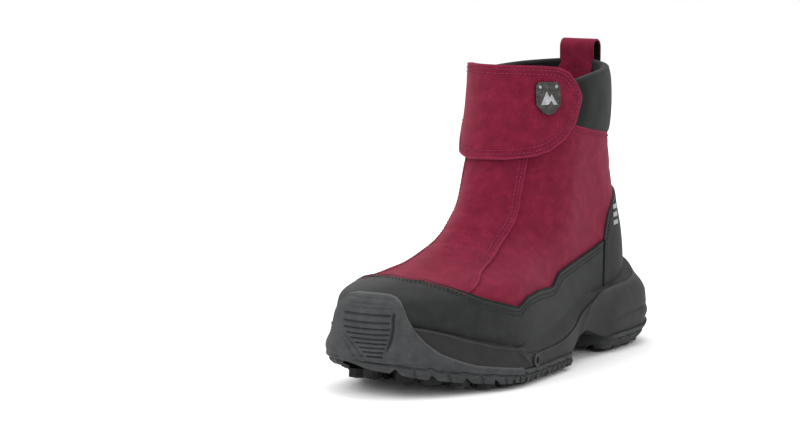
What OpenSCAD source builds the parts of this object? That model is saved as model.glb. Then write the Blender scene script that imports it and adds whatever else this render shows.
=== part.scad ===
// Winter cross country boot with an ankle strap flap, a side zip and a studded outsole.
// Left boot: the toe points to -Y, the wearer's outer side is +X, and the studs rest on z = 0.

/* [Shaft] */
// height of the collar rim at the back
collar_back_z = 169; // [158:1:171]
// height of the collar rim at the outer side
collar_side_z = 160.5; // [150:1:168]
// thickness of the suede panels
suede_t = 1.4; // [1:0.1:2]
// thickness of the inner bootie
lining_t = 1.8; // [1:0.1:3]

/* [Flap] */
// thickness of the suede flap
flap_t = 1.6; // [1:0.1:3]
// clear height of the flap over the shaft
flap_gap = 2.0; // [1.5:0.1:3]
// width of the badge plate
badge_w = 15; // [10:1:18]

/* [Sole] */
// height of the rubber lugs
lug_h = 4.2; // [3:0.1:6]
// how far the stud tips stand out of the lugs
stud_out = 1.2; // [0.8:0.1:2]
// radius of a stud's base
stud_r = 2.9; // [2:0.1:4]
// radius of a stud's tip
tip_r = 1.1; // [0.8:0.1:1.6]
// height of the joint between midsole and upper
feather_z = 22; // [20:0.5:24]

/* [Zip] */
// pitch of the zip coil
tooth_pitch = 2.2; // [1.6:0.1:3]
// length of the metal puller between its two bars
puller_len = 14; // [10:1:18]
// length of the leather pull tab
strap_len = 36; // [25:1:45]

/* [Hidden] */
$fn = 32;
SUEDE = [0.43, 0.10, 0.20];
RUBBER = [0.20, 0.20, 0.21];
DARK = [0.13, 0.13, 0.14];
STEEL = [0.70, 0.70, 0.72];

// front ridge line and back line of the upper: height, then y
FRONT = [[24, -116], [36, -129], [46, -131], [53, -126], [59, -109], [63, -89], [71, -64], [85, -43],
    [104, -26], [124, -13], [146, -4], [172, 0]];
BACK = [[26, 104], [45, 112], [65, 111], [90, 104], [120, 99], [172, 98]];
// half widths of the upper: y, then width, at foot level and at shaft level
FOOT_OUT = [[-135, 30], [-95, 42], [-60, 46], [-20, 42], [20, 36], [60, 33], [90, 33], [120, 32]];
FOOT_IN = [[-135, 42], [-95, 45], [-60, 43], [-20, 36], [20, 31], [60, 31], [90, 32], [120, 32]];
SHAFT_OUT = [[-20, 30], [20, 34], [48, 35], [80, 34], [110, 32]];
SHAFT_IN = [[-20, 30], [20, 33.6], [48, 33.6], [80, 33], [110, 32]];
AXIS = [[-140, -5], [-60, 0], [0, 0], [120, 0]];
// sole: front and back by height, half widths by y
SOLE_FRONT = [[0, -120], [6, -128], [14, -134], [24, -137], [36, -136.5], [46, -135], [53, -130.5],
    [59, -114], [63, -94]];
SOLE_BACK = [[0, 128], [6, 134], [12, 139.5], [18, 142], [24, 142], [38, 138.5], [49, 131], [58, 120], [70, 115]];
SOLE_OUT = [[-139, 30], [-115, 36], [-95, 42], [-75, 48], [-58, 50], [-45, 49], [-20, 47], [0, 45],
    [12, 42.5], [22, 40], [40, 38.5], [80, 39], [110, 37], [142, 31]];
SOLE_IN = [[-139, 42], [-115, 44.5], [-95, 47], [-75, 47.5], [-60, 46.5], [-20, 40], [20, 35],
    [50, 35], [80, 37], [110, 36.5], [142, 31]];
// sole heights by y: underside of the lugs, rubber top edge, midsole underside and midsole rim
GROUND = [[-139, 16.5], [-123, 9.4], [-105, 5.6], [-83, 2.5], [-62, stud_out], [119, stud_out],
    [129, 3.8], [142, 10]];
RUBBER_TOP = [[-139, 24], [-119, 20], [-97.5, 15], [-70, 10.5], [-45, 9], [0, 9.5], [55, 10.5],
    [110, 11.5], [135, 14], [143, 16]];
MID_LOW = [[-139, 24.4], [-119, 20.4], [-97.5, 15.4], [-70, 10.9], [-45, 9.4], [7, 9.8], [14, 13],
    [24, 17.4], [38, 17.4], [54, 12], [60, 10.9], [110, 11.9], [135, 14.4], [143, 16.4]];
RIM = [[-139, 27], [-122.5, 27.3], [-119, 35.5], [-116, 35.5], [-98, 30], [-72, 24.6], [-58, 23], [-30, 23],
    [3, 23.5], [30, 28], [46, 36], [57, 41.5], [79, 44], [90, 50], [110, 55], [145, 56]];
// moves the whole boot so that the middle of its outline is at the origin
SHIFT = [-1.2, -2.55, 0];
// zip line, top and bottom
ZIP_A = [-32.2, 31.6, 164];
ZIP_B = [-31.3, 25, 62];
zip_v = ZIP_A - ZIP_B;
zip_len = norm(zip_v);
bar_z = -6;
low_bar_z = bar_z - puller_len;
bar_x = 3.7;
bar_r = 0.75;
// pull loop hinge
LOOP = [0, 96.7, 170.2];
loop_w = 22;

function clamp(x, a, b) = min(b, max(a, x));
function sm(a, b, x) = let (t = clamp((x - a) / (b - a), 0, 1)) t * t * (3 - 2 * t);
function slope(T, k) = (T[k + 1][1] - T[k][1]) / (T[k + 1][0] - T[k][0]);
function tangent(T, k) = k == 0 ? slope(T, 0) : k == len(T) - 1 ? slope(T, k - 1) :
    let (h0 = T[k][0] - T[k - 1][0], h1 = T[k + 1][0] - T[k][0])
    (slope(T, k - 1) * h1 + slope(T, k) * h0) / (h0 + h1);
// smooth curve through a table of points
function spl(T, x) = let (
    n = len(T), q = clamp(x, T[0][0], T[n - 1][0]),
    i = min(n - 2, max(0, len([for (p = T) if (p[0] <= q) 1]) - 1)),
    h = T[i + 1][0] - T[i][0], t = (q - T[i][0]) / h, a = tangent(T, i), b = tangent(T, i + 1))
    (1 + 2 * t) * (1 - t) * (1 - t) * T[i][1] + t * (1 - t) * (1 - t) * h * a
    + t * t * (3 - 2 * t) * T[i + 1][1] + t * t * (t - 1) * h * b;
function lin(T, x) = lookup(x, T);
function round_end(u, p) = let (v = clamp(u, 0, 1)) pow(1 - pow(1 - v, p), 1 / p);
function wrap(t) = t > 1 ? t - 2 : t < -1 ? t + 2 : t;

// point of the upper's outer surface: t runs 0 at the front, 1 at the back along the outer side,
// and 0 to -1 along the inner side; z is the height
function sp(tt, z) = let (
    t = wrap(tt), s = t < 0 ? -1 : 1, yf = spl(FRONT, z), yb = spl(BACK, z),
    y = yf + (yb - yf) * (1 - cos(180 * abs(t))) / 2,
    k = sm(70, 165, z), af = 62 - 14 * sm(60, 130, z), ab = 38 + 10 * sm(60, 130, z),
    pf = 2.2 - 0.65 * sm(50, 62, z) + 0.45 * sm(90, 130, z),
    e = round_end((y - yf) / af, pf) * round_end((yb - y) / ab, 2.1)
        * (1 - 0.25 * sm(44, 84, z) * sm(24, -24, y) * (1 - k)),
    w = s > 0 ? spl(FOOT_OUT, y) * (1 - k) + spl(SHAFT_OUT, y) * k
        : spl(FOOT_IN, y) * (1 - k) + spl(SHAFT_IN, y) * k)
    [spl(AXIS, y) + s * w * e, y, z];
// the t value of a given y at a given height
function ty(y, z) = let (yf = spl(FRONT, z), yb = spl(BACK, z))
    acos(clamp(1 - 2 * (y - yf) / (yb - yf), -1, 1)) / 180;
function unit(v) = v / max(1e-6, norm(v));
// surface point moved out by d
function off(t, z, d) = let (
    p = sp(t, z), du = sp(t + 0.012, z) - sp(t - 0.012, z), dv = sp(t, z + 0.5) - sp(t, z - 0.5),
    m = unit(cross(du, dv)))
    p + d * m;

// the same, at the height where the moved point itself lies on z
function off_at(t, z, d) = off(t, z + (z - off(t, z, d)[2]) * sm(46, 34, z), d);

// how far the sole's wall tucks in towards the ground
function tuck(s, y, z) = (s > 0 ? 2.5 : 7.5) * sm(22, 6, z) * sm(-72, -102, y) + 5 * sm(13, 0, z) * sm(20, 60, y)
    + 2 * sm(10, 0, z) * sm(20, -20, y);
// point of the sole's outer wall
function sole_pt(t, z, e = 0) = let (
    s = t < 0 ? -1 : 1, yf = lin(SOLE_FRONT, z) - e, yb = lin(SOLE_BACK, z) + e,
    y = yf + (yb - yf) * (1 - cos(180 * abs(t))) / 2,
    w = (s > 0 ? spl(SOLE_OUT, y) : spl(SOLE_IN, y)) + e - tuck(s, y, z))
    [spl(AXIS, y) + s * w * round_end((y - yf) / 54, 2.3) * round_end((yb - y) / 38, 2.2), y, z];
// the wall blends from the sole's outline into the upper as it rises, later round the heel
function rise(t, z) = let (r = sm(0.62, 0.76, abs(t))) sm(24 + 6 * r, 50 + 7 * r, z);
function wall_pt(t, z, e = 0) = let (
    a = sole_pt(t, z, e), b = off(t, max(z, 27), 2.9 + e), k = rise(t, z))
    [a[0] * (1 - k) + b[0] * k, a[1] * (1 - k) + b[1] * k, z];

// the same wall, leaning out with the upper over the toe
function lap_pt(t, z, e = 0) = let (a = sole_pt(t, z, e), b = off(t, max(z, 27), 2.9 + e), k = rise(t, z))
    a * (1 - k) + b * k;

module place() { translate(SHIFT) children(); }
// closed shell between an inner and an outer grid of points
module shell(outer, inner, closed = false) {
    nv = len(outer);
    nu = len(outer[0]);
    n = nv * nu;
    last = closed ? nu - 1 : nu - 2;
    points = concat([for (r = outer) each r], [for (r = inner) each r]);
    faces = concat(
        [for (j = [0:nv - 2], i = [0:last]) let (a = j * nu + i, b = j * nu + (i + 1) % nu)
            each [[a, a + nu, b + nu], [a, b + nu, b]]],
        [for (j = [0:nv - 2], i = [0:last]) let (a = n + j * nu + i, b = n + j * nu + (i + 1) % nu)
            each [[a, b + nu, a + nu], [a, b, b + nu]]],
        [for (i = [0:last]) let (a = i, b = (i + 1) % nu) each [[a, b, n + b], [a, n + b, n + a]]],
        [for (i = [0:last]) let (a = (nv - 1) * nu + i, b = (nv - 1) * nu + (i + 1) % nu)
            each [[a, n + b, b], [a, n + a, n + b]]],
        closed ? [] : [for (j = [0:nv - 2]) let (a = j * nu)
            each [[a, n + a, n + a + nu], [a, n + a + nu, a + nu]]],
        closed ? [] : [for (j = [0:nv - 2]) let (a = j * nu + nu - 1)
            each [[a, n + a + nu, n + a], [a, a + nu, n + a + nu]]]);
    polyhedron(points, faces, convexity = 8);
}
// a panel of the upper: map gives [t, z] for u and v from 0 to 1, d0 and d1 are its faces
module panel(map, d0, d1, nu, nv, closed = false) {
    cols = closed ? nu - 1 : nu;
    face = function (d) [for (j = [0:nv]) [for (i = [0:cols]) let (u = i / nu, v = j / nv, m = map(u, v))
        off(m[0], m[1], d(u, v))]];
    shell(face(d1), face(d0), closed);
}
function flat(d) = function (u, v) d;
// heights spread evenly over the foot and stretched to the top edge above it
LEVELS = [24, 31, 39, 46, 50, 54, 57, 60, 63, 67, 71, 75, 80, 86, 92, 99, 108, 117, 126];
NV = len(LEVELS) - 1;
function level(v, top) = let (q = v * (len(LEVELS) - 1), i = min(len(LEVELS) - 2, floor(q)),
    z = LEVELS[i] + (q - i) * (LEVELS[i + 1] - LEVELS[i]))
    z < 88 ? z : 88 + (z - 88) * (top - 88) / 38;

// closed sole block: a stack of rings around the outline, closed along the middle line
module ring_block(rings, low, high) {
    nr = len(rings);
    n = len(rings[0]);
    h = n / 2;
    m = nr * n;
    c = function (i) i <= h ? i : n - i;
    points = concat([for (r = rings) each r], low, high);
    faces = concat(
        [for (j = [0:nr - 2], i = [0:n - 1]) let (a = j * n + i, b = j * n + (i + 1) % n)
            each [[a, a + n, b + n], [a, b + n, b]]],
        [for (i = [0:n - 1]) let (a = i, b = (i + 1) % n, p = m + c(i), q = m + c((i + 1) % n))
            each [[a, b, q], [a, q, p]]],
        [for (i = [0:n - 1]) let (a = (nr - 1) * n + i, b = (nr - 1) * n + (i + 1) % n,
            p = m + h + 1 + c(i), q = m + h + 1 + c((i + 1) % n))
            each [[a, q, b], [a, p, q]]]);
    polyhedron(points, faces, convexity = 8);
}
function loop_t(i, n) = i <= n / 2 ? 2 * i / n : 2 * i / n - 2;

// ---- sole ----
// height of the midsole's rim, found where the wall itself passes under it
function rim_z(t) = let (a = lin(RIM, sole_pt(t, 20)[1]), b = lin(RIM, wall_pt(t, a)[1]), c = lin(RIM, wall_pt(t, b)[1]))
    lin(RIM, wall_pt(t, (b + c) / 2)[1]);
N = 72;
module midsole() {
    place() color(DARK) ring_block(
        concat(
            [for (k = [0:5]) [for (i = [0:N - 1]) let (t = loop_t(i, N), y = sole_pt(t, 20)[1],
                a = lin(MID_LOW, y), b = rim_z(t)) wall_pt(t, a + (b - a) * k / 5)]],
            [for (k = [0:4]) [for (i = [0:N - 1]) let (t = loop_t(i, N), z1 = rim_z(t),
                z = z1 + (25 - z1) * k / 4, p = off_at(t, z, 2.1)) [p[0], p[1], k == 4 ? feather_z : p[2]]]]),
        [for (i = [0:N / 2]) let (y = -112 + 230 * i / (N / 2)) [-2, y, lin(MID_LOW, y)]],
        [for (i = [0:N / 2]) let (y = -104 + 205 * i / (N / 2)) [-2, y, feather_z]]);
}
// rubber pad between two y values, outline as the sole wall with a squared inner end
function pad_pt(t, z, y0, y1, e) = let (
    s = t < 0 ? -1 : 1, y = y0 + (y1 - y0) * (1 - cos(180 * abs(t))) / 2,
    w = (s > 0 ? spl(SOLE_OUT, y) : spl(SOLE_IN, y)) + e - tuck(s, y, z),
    af = y0 > 0 ? 8 : 54, pf = y0 > 0 ? 3 : 2.3, ab = y0 > 0 ? 38 : 8, pb = y0 > 0 ? 2.2 : 3)
    [spl(AXIS, y) + s * w * round_end((y - y0) / af, pf) * round_end((y1 - y) / ab, pb), y, z];
module pad(y0, y1, e, n, mid0, mid1) {
    ring_block(
        [for (k = [0:3]) [for (i = [0:n - 1]) let (t = loop_t(i, n),
            ya = pad_pt(t, 8, y0, y1, e)[1], a = lin(GROUND, ya) + lug_h, b = lin(RUBBER_TOP, ya),
            f = k / 3, z = a + (b - a) * f,
            q = y0 > 0 ? pad_pt(t, z, y0, lin(SOLE_BACK, z) + e, e) : pad_pt(t, z, lin(SOLE_FRONT, z) - e, y1, e))
            [q[0], q[1], z]]],
        [for (i = [0:n / 2]) let (y = mid0 + (mid1 - mid0) * 2 * i / n) [-2, y, lin(GROUND, y) + lug_h]],
        [for (i = [0:n / 2]) let (y = mid0 + (mid1 - mid0) * 2 * i / n) [-2, y, lin(RUBBER_TOP, y)]]);
}
module outsole_forefoot() { place() color(RUBBER) pad(-134, 10, 0.8, 40, -114, 2); }
module outsole_heel() { place() color(RUBBER) pad(60, 142, 0.6, 32, 68, 122); }

// one lug: a block with bevelled corners, its length along y
module lug(x, y, l, w, a) {
    z0 = lin(GROUND, y);
    c = min(l, w) * 0.28;
    translate([x, y, z0]) rotate(a) linear_extrude(lug_h + 0.9)
        polygon([[-w / 2 + c, -l / 2], [w / 2 - c, -l / 2], [w / 2, -l / 2 + c], [w / 2, l / 2 - c],
            [w / 2 - c, l / 2], [-w / 2 + c, l / 2], [-w / 2, l / 2 - c], [-w / 2, -l / 2 + c]]);
}
// arrow shaped lug on the middle of the sole
module arrow(x, y, w) {
    translate([x, y, lin(GROUND, y)]) linear_extrude(lug_h + 0.9)
        polygon([[0, -6], [w / 2, 1], [w / 2, 6], [0, 0], [-w / 2, 6], [-w / 2, 1]]);
}
function edge_x(s, y) = spl(AXIS, y) + s * ((s > 0 ? spl(SOLE_OUT, y) : spl(SOLE_IN, y))
    * round_end((y + 128) / 50, 2.3) * round_end((136 - y) / 38, 2.2) - (y > 20 ? 11 : 8.5)
    - (s < 0 ? 6 : 2) * sm(-72, -102, y));
module forefoot_lugs() {
    place() color(RUBBER) {
        for (y = [-108:13.5:1], s = [-1, 1]) lug(edge_x(s, y), y, 9.5, 11, s * 14);
        for (y = [-96:16:1]) arrow(0, y, 24);
        for (y = [-88:16:-5], s = [-1, 1]) lug(s * 21 - 1, y, 7, 7, s * 30);
        for (s = [-1, 1]) lug(s * 11 - 4, -113, 7, 12, s * 20);
    }
}
module heel_lugs() {
    place() color(RUBBER) {
        for (y = [70:13:112], s = [-1, 1]) lug(edge_x(s, y), y, 9, 12, s * 14);
        for (y = [74:16:116]) arrow(0, y, 20);
        for (s = [-1, 1]) lug(s * 9, 122.5, 7, 12, -s * 16);
    }
}
STUDS = concat([for (y = [-94.5:27:-12], s = [-1, 1]) [edge_x(s, y), y]],
    [for (y = [70, 96], s = [-1, 1]) [edge_x(s, y), y]], [[0, 106]]);
module stud_bases() {
    place() color(STEEL) for (p = STUDS) {
        z0 = lin(GROUND, p[1]);
        translate([p[0], p[1], z0 - 0.9]) cylinder(r = stud_r, h = 0.8);
    }
}
module stud_tips() {
    place() color([0.35, 0.35, 0.37]) for (p = STUDS) {
        z0 = lin(GROUND, p[1]);
        translate([p[0], p[1], z0 - stud_out]) cylinder(r1 = tip_r * 0.7, r2 = tip_r, h = stud_out - 0.92);
    }
}
// toe bumper that laps up over the toe
module toe_bumper() {
    map = function (u, v) [-0.135 + 0.235 * u, 28 + 27 * v];
    outer = [for (j = [0:8]) [for (i = [0:14]) let (m = map(i / 14, j / 8))
        lap_pt(m[0], m[1], 1.1 - 0.7 * j / 8)]];
    inner = [for (j = [0:8]) [for (i = [0:14]) let (m = map(i / 14, j / 8)) off_at(m[0], m[1], 2.1)]];
    place() color(RUBBER) shell(outer, inner);
}
module toe_ribs() {
    place() color(RUBBER) for (k = [0:7]) {
        z = 30 + 2.9 * k;
        w = 0.030 + 0.0035 * k;
        o = function (i, j) lap_pt(-0.02 + w * (i / 8 * 2 - 1), z + 1.4 * j, 2.0);
        q = function (i, j) lap_pt(-0.02 + w * (i / 8 * 2 - 1), z + 1.4 * j, 1.25);
        shell([for (j = [0, 1]) [for (i = [0:8]) o(i, j)]], [for (j = [0, 1]) [for (i = [0:8]) q(i, j)]]);
    }
}
module shank_plate() {
    place() color([0.09, 0.09, 0.10]) translate([-19, 0, 0]) rotate([90, 0, 90]) linear_extrude(36)
        polygon([[10.6, 8.2], [16, 11], [25, 15], [38, 15.2], [53, 10.2], [59.5, 9.2], [59.5, 7.4],
            [52, 8.4], [37, 13.4], [26, 13.2], [17.5, 9.4], [10.6, 6.2]]);
}
module sidewall_ring() {
    place() color(RUBBER) translate([49.7, -46.5, 13]) rotate([0, 90, 5]) difference() {
        cylinder(r = 3.6, h = 1.0);
        translate([0, 0, -1]) cylinder(r = 2.2, h = 3);
    }
}
// plan of the inside, shrunk by g
function inside(z, g) = [for (i = [0:39]) let (t = loop_t(i, 40), p = off(t, z, -g)) [p[0], p[1]]];
module lasting_board() {
    place() color([0.75, 0.70, 0.60]) translate([0, 0, feather_z + 0.2]) linear_extrude(1.6) polygon(inside(24, 1.8));
}
module footbed() {
    place() color([0.25, 0.25, 0.28]) translate([0, 0, 27.2]) linear_extrude(4) polygon(inside(27, 5.6));
}

// ---- upper ----
in0 = -suede_t;
function top_outer(t) = t < 0.342 ? 126 + 12.5 * sm(0.2, 0.342, t) : lin([[0.342, 138.5], [0.419, 135], [0.527, 131.5],
    [0.655, 128.5], [1, 126]], t);
function top_inner(t) = lin([[0.366, 166], [0.44, 166], [0.463, 164], [0.475, 138], [0.506, 131.5], [0.546, 127], [0.62, 124.3],
    [1, 126]], abs(t));
function zip_y(z) = ZIP_B[1] + (z - ZIP_B[2]) * zip_v[1] / zip_v[2];
module quarter_outer() {
    map = function (u, v) let (t = 0.004 + 0.992 * u) [t, level(v, top_outer(t))];
    place() color(SUEDE) panel(map, flat(in0), flat(0), 34, NV);
}
module quarter_inner_front() {
    map = function (u, v) let (z = level(v, 126), t1 = z < 58 ? ty(zip_y(58) - 4.8, z) : ty(zip_y(z) - 4.8, z))
        [-(t1 + (0.004 - t1) * u), z];
    place() color(SUEDE) panel(map, flat(in0), flat(0), 16, NV);
}
module quarter_inner_rear() {
    map = function (u, v) let (z0 = level(v, 126), t0 = ty((z0 < 58 ? zip_y(58) : zip_y(z0)) + 4.8, z0),
        t = -(0.996 + (t0 - 0.996) * u), top = top_inner(t), z = level(v, top)) [t, z];
    place() color(SUEDE) panel(map, flat(in0), flat(0), 20, NV);
}
module shaft_front() {
    zl = function (t) t > 0 ? 127 + 12.5 * sm(0.2, 0.342, t) : 127;
    map = function (u, v) let (z1 = 127 + 38 * v, a = -ty(zip_y(z1) - 4.8, z1), t = a + (0.338 - a) * u, z0 = zl(t),
        z = z0 + (165 - z0) * v) [t, z];
    place() color(SUEDE) panel(map, flat(-2.2), flat(-0.8), 32, 6);
}
// upper edge of the mudguard by y, outer and inner side
MUD_OUT = [[-103, 60.6], [-99, 59.8], [-98, 57], [-94.5, 54], [-87, 50.5], [-67, 45], [-62, 43.6], [-51, 48],
    [-35, 49.3], [-14, 48.6], [-9, 50.5], [-1, 55], [20, 58.5], [60, 65.5]];
MUD_IN = [[-103, 60.6], [-97, 60.3], [-90, 58.5], [-83, 55], [-75, 49.5], [-67, 43.4], [-62.5, 44.5],
    [-59, 49], [-46, 51.4], [-28, 53.4], [12, 55.7], [60, 60]];
function by_t(T) = [for (p = T) [ty(p[0], p[1]), p[1]]];
MUD_OUT_T = by_t(MUD_OUT);
MUD_IN_T = by_t(MUD_IN);
function mud_top(t) = lin(t > 0 ? MUD_OUT_T : MUD_IN_T, abs(t));
module mudguard() {
    end = function (z) ty(60 + 0.06 * (z - 40), z);
    map = function (u, v) let (w = 2 * u - 1, z0 = mud_top(w * end(50)), z1 = mud_top(w * end(z0)),
        z = 22.4 + (z1 - 22.4) * v) [w * end(z), z];
    place() color(DARK) panel(map, flat(0.35), flat(1.5), 52, 8);
}
// the centre strip from the mudguard up under the flap
STRIP_IN = [[56, -97], [60, -84], [65.5, -62], [73, -42.5], [80, -30], [93, -17], [120, -6]];
STRIP_OUT = [[54, -94], [60.3, -74.4], [66.5, -54.1], [74.4, -36], [87.7, -18.1], [99.9, -11.9],
    [111.2, -7.3], [120, -4]];
function strip_a(z) = -ty(spl(STRIP_IN, z), z);
function strip_b(z) = ty(spl(STRIP_OUT, z), z);
module instep_strip() {
    low = function (u, t) let (z = mud_top(t) + 0.6) [strip_a(z) + (strip_b(z) - strip_a(z)) * u, z];
    map = function (u, v) let (q = low(u, low(u, -0.2 + 0.43 * u)[0]), z = q[1] + (120 - q[1]) * pow(v, 1.5))
        [strip_a(z) + (strip_b(z) - strip_a(z)) * u, z];
    place() color(SUEDE) panel(map, flat(0.4), flat(1.4), 18, 22);
}
HEEL_TOP = [[0, 99], [0.3, 97], [0.62, 93], [0.84, 88], [0.95, 81], [1, 66.5]];
module heel_panel() {
    map = function (u, v) let (e = 2 * u - 1, q = abs(e), z = 24 + (lin(HEEL_TOP, q) - 24) * v,
        t = 1 + e * (1 - ty(62 + 0.06 * (z - 40), z))) [t > 1 ? t - 2 : t, z];
    place() color(DARK) panel(map, flat(0.35), flat(1.5), 32, 12);
}
module reflector_bars() {
    place() color([0.78, 0.78, 0.80]) for (k = [0:2]) {
        map = function (u, v) let (z = 74 + 4.6 * k + 2.6 * v) [ty(74 + 7 * u, z), z];
        panel(map, flat(1.6), flat(2.0), 4, 1);
    }
}
module toe_puff() {
    map = function (u, v) [-0.3 + 0.6 * u, 27 + 31 * v];
    place() color([0.6, 0.6, 0.6]) panel(map, flat(-2.6), flat(-1.95), 22, 9);
}
module heel_counter() {
    map = function (u, v) let (t = 0.66 + 0.68 * u) [t > 1 ? t - 2 : t, 27 + 41 * v];
    place() color([0.6, 0.6, 0.6]) panel(map, flat(-2.6), flat(-1.95), 26, 8);
}
function rim(t) = t > 0 ? lin([[0.3, 162], [0.36, 161], [0.5, collar_side_z], [0.7, collar_side_z + 3], [1, collar_back_z]], t)
    : lin([[0.3, 166], [0.465, 166], [0.7, 167.5], [1, collar_back_z]], -t);
module lining() {
    map = function (u, v) let (t = wrap(2 * u), z = level(v, rim(t) - 2.5)) [t, z < 27 ? 27 : z];
    place() color([0.16, 0.16, 0.18]) panel(map, flat(-2.95 - lining_t), flat(-2.95), 46, NV, true);
}
// padded neoprene collar around the back of the shaft
function collar_low(t) = t > 0 ? lin([[0.342, 139.4], [0.419, 136], [0.527, 132.5], [0.655, 129.5], [1, 127]], t)
    : lin([[0.48, 140], [0.506, 133.5], [0.546, 129], [0.62, 126], [1, 127]], -t);
module collar() {
    map = function (u, v) let (t = 0.345 + 1.175 * u, w = t > 1 ? t - 2 : t, z0 = collar_low(w), z1 = rim(w))
        [w, z0 + (z1 - 2 - z0) * v];
    puff = function (u, v) let (y = 0.345 + 1.175 * u)
        -0.2 + 2.4 * sm(0.40, 0.50, y) * sm(1.52, 1.44, y) * pow(max(0, 4 * v * (1 - v)), 0.4);
    place() color([0.12, 0.12, 0.13]) panel(map, flat(-2.2), puff, 30, 7);
}
module collar_binding() {
    map = function (u, v) let (t = 0.345 + 1.175 * u, w = t > 1 ? t - 2 : t, z1 = rim(w)) [w, z1 - 1.7 + 1.7 * v];
    place() color([0.10, 0.10, 0.11]) panel(map, flat(-4.4), function (u, v) 0.4 * (1 - v), 30, 1);
}
module zip_gusset() {
    map = function (u, v) let (z = 60 + 100 * v) [-ty(zip_y(z) + 12 - 24 * u, z), z];
    place() color([0.08, 0.08, 0.09]) panel(map, flat(-2.75), flat(-2.45), 8, 14);
}

// ---- zip ----
// local axes on the zip line: x out of the boot, z up along the zip, origin at its top end
module on_zip() {
    translate(ZIP_A) rotate([-atan2(zip_v[1], zip_v[2]), atan2(zip_v[0], zip_v[2]), 0]) mirror([1, 0, 0]) children();
}
module zip_tape() {
    place() color([0.07, 0.07, 0.08]) {
        on_zip() translate([-1.45, -4.1, -zip_len]) cube([0.35, 8.2, zip_len - 1]);
    }
}
module zip_teeth() {
    place() color([0.10, 0.10, 0.11]) on_zip() {
        for (k = [0:floor((zip_len - 16) / tooth_pitch)]) {
            translate([-0.9, -2.5, -6 - tooth_pitch * k]) cube([1.7, 2.9, 1.3]);
            translate([-0.9, -0.4, -6 - tooth_pitch * (k + 0.5)]) cube([1.7, 2.9, 0.9]);
        }
        translate([-1.05, -2.9, -zip_len + 4.1]) cube([0.2, 5.8, zip_len - 7]);
    }
}
module zip_top_stops() {
    place() color(STEEL) on_zip() for (s = [-1, 1]) translate([-1.0, s * 1.6 - 1, -2.6]) cube([1.8, 2, 2.4]);
}
module zip_bottom_stop() {
    place() color(STEEL) on_zip() translate([-0.8, -3.2, -zip_len + 1]) cube([1.8, 6.4, 3]);
}
// slider: a channel that rides over the coil, with a bail on top
module zip_slider() {
    place() color(STEEL) on_zip() {
        difference() {
            translate([-0.4, 0, -15]) rotate([90, 0, 90]) linear_extrude(3)
                polygon([[-4.1, 9], [-3.5, 0], [3.5, 0], [4.1, 9], [4.1, 13], [3.2, 14.6], [-3.2, 14.6], [-4.1, 13]]);
            translate([-1, -2.75, -16]) cube([2.2, 5.5, 18]);
        }
        difference() {
            translate([2.5, -0.9, -11]) cube([3.0, 1.8, 10]);
            translate([2.0, -2, -9.8]) cube([2.75, 4, 7.6]);
        }
    }
}
// puller: two arms between an upper bar inside the bail and a lower bar for the leather tab
module zip_puller() {
    place() color(STEEL) on_zip() {
        for (z = [bar_z, low_bar_z]) translate([bar_x, -2.7, z]) rotate([-90, 0, 0]) cylinder(r = bar_r, h = 5.4);
        for (s = [-1, 1]) {
            translate([bar_x - bar_r, s > 0 ? 1.5 : -2.7, low_bar_z]) cube([2 * bar_r, 1.2, puller_len]);
            for (z = [bar_z, low_bar_z])
                translate([bar_x, s > 0 ? 1.5 : -2.7, z]) rotate([-90, 0, 0]) cylinder(r = 1.0, h = 1.2);
        }
        translate([bar_x - bar_r, -1.6, low_bar_z + 4]) cube([2 * bar_r, 3.2, 4.5]);
    }
}
// leather tab looped around the puller's lower bar
module pull_strap() {
    place() color(SUEDE) on_zip() translate([bar_x, 0, low_bar_z]) {
        translate([0, 1.3, 0]) rotate([90, 0, 0]) linear_extrude(2.6) difference() {
            union() {
                circle(r = 2.1);
                translate([-1.3, -4.6]) square([2.6, 4.6]);
            }
            circle(r = 1.05);
        }
        rotate([90, 0, 90]) translate([0, 0, -1.3]) linear_extrude(2.6)
            union() {
                translate([-3.7, -strap_len + 3.7]) square([7.4, strap_len - 7.7]);
                translate([0, -strap_len + 3.7]) circle(r = 3.7);
            }
    }
}

// ---- flap ----
flap_low = [[-0.345, 137], [-0.33, 132], [-0.299, 126], [-0.234, 120], [-0.1, 117], [0.1, 117.5], [0.222, 119.5],
    [0.275, 122], [0.33, 128.5], [0.369, 137], [0.386, 147], [0.39, 150]];
flap_top = [[-0.345, 166], [-0.32, 169], [-0.2, 170.5], [0.1, 170.5], [0.2, 170.2], [0.281, 169.2], [0.326, 166.2],
    [0.364, 159.5], [0.384, 154], [0.39, 152]];
function flap_map(m) = function (u, v) let (t = -0.345 + 0.735 * sin(90 * u), a = lin(flap_low, t) + m,
    b = lin(flap_top, t) - m, c = (a + b) / 2, a2 = min(a, c - 0.3), b2 = max(b, c + 0.3)) [t, a2 + (b2 - a2) * v];
f0 = flap_gap;
module flap_shell() { place() color(SUEDE) panel(flap_map(0), flat(f0 + 0.7), flat(f0 + 0.7 + flap_t), 24, 8); }
module flap_lining() {
    map = function (u, v) let (t = -0.335 + 0.70 * u, a = lin(flap_low, t) + 2, b = lin(flap_top, t) - 2) [t, a + (b - a) * v];
    place() color([0.14, 0.14, 0.15]) panel(map, flat(f0), flat(f0 + 0.45), 24, 8);
}
module flap_root() {
    map = function (u, v) let (z = 138 + 27 * v) [-0.361 + 0.008 * u, z];
    place() color(SUEDE) panel(map, flat(-0.7), flat(f0 + 0.7 + flap_t), 1, 6);
}
module hook_tape() {
    map = function (u, v) [0.20 + 0.13 * u, 134 + 28 * v];
    place() color([0.06, 0.06, 0.07]) panel(map, flat(f0 - 1.1), flat(f0 - 0.2), 8, 6);
}
module loop_tape() {
    map = function (u, v) [0.15 + 0.18 * u, 141 + 20 * v];
    place() color([0.08, 0.08, 0.09]) panel(map, flat(-0.7), flat(0.3), 6, 4);
}
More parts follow.
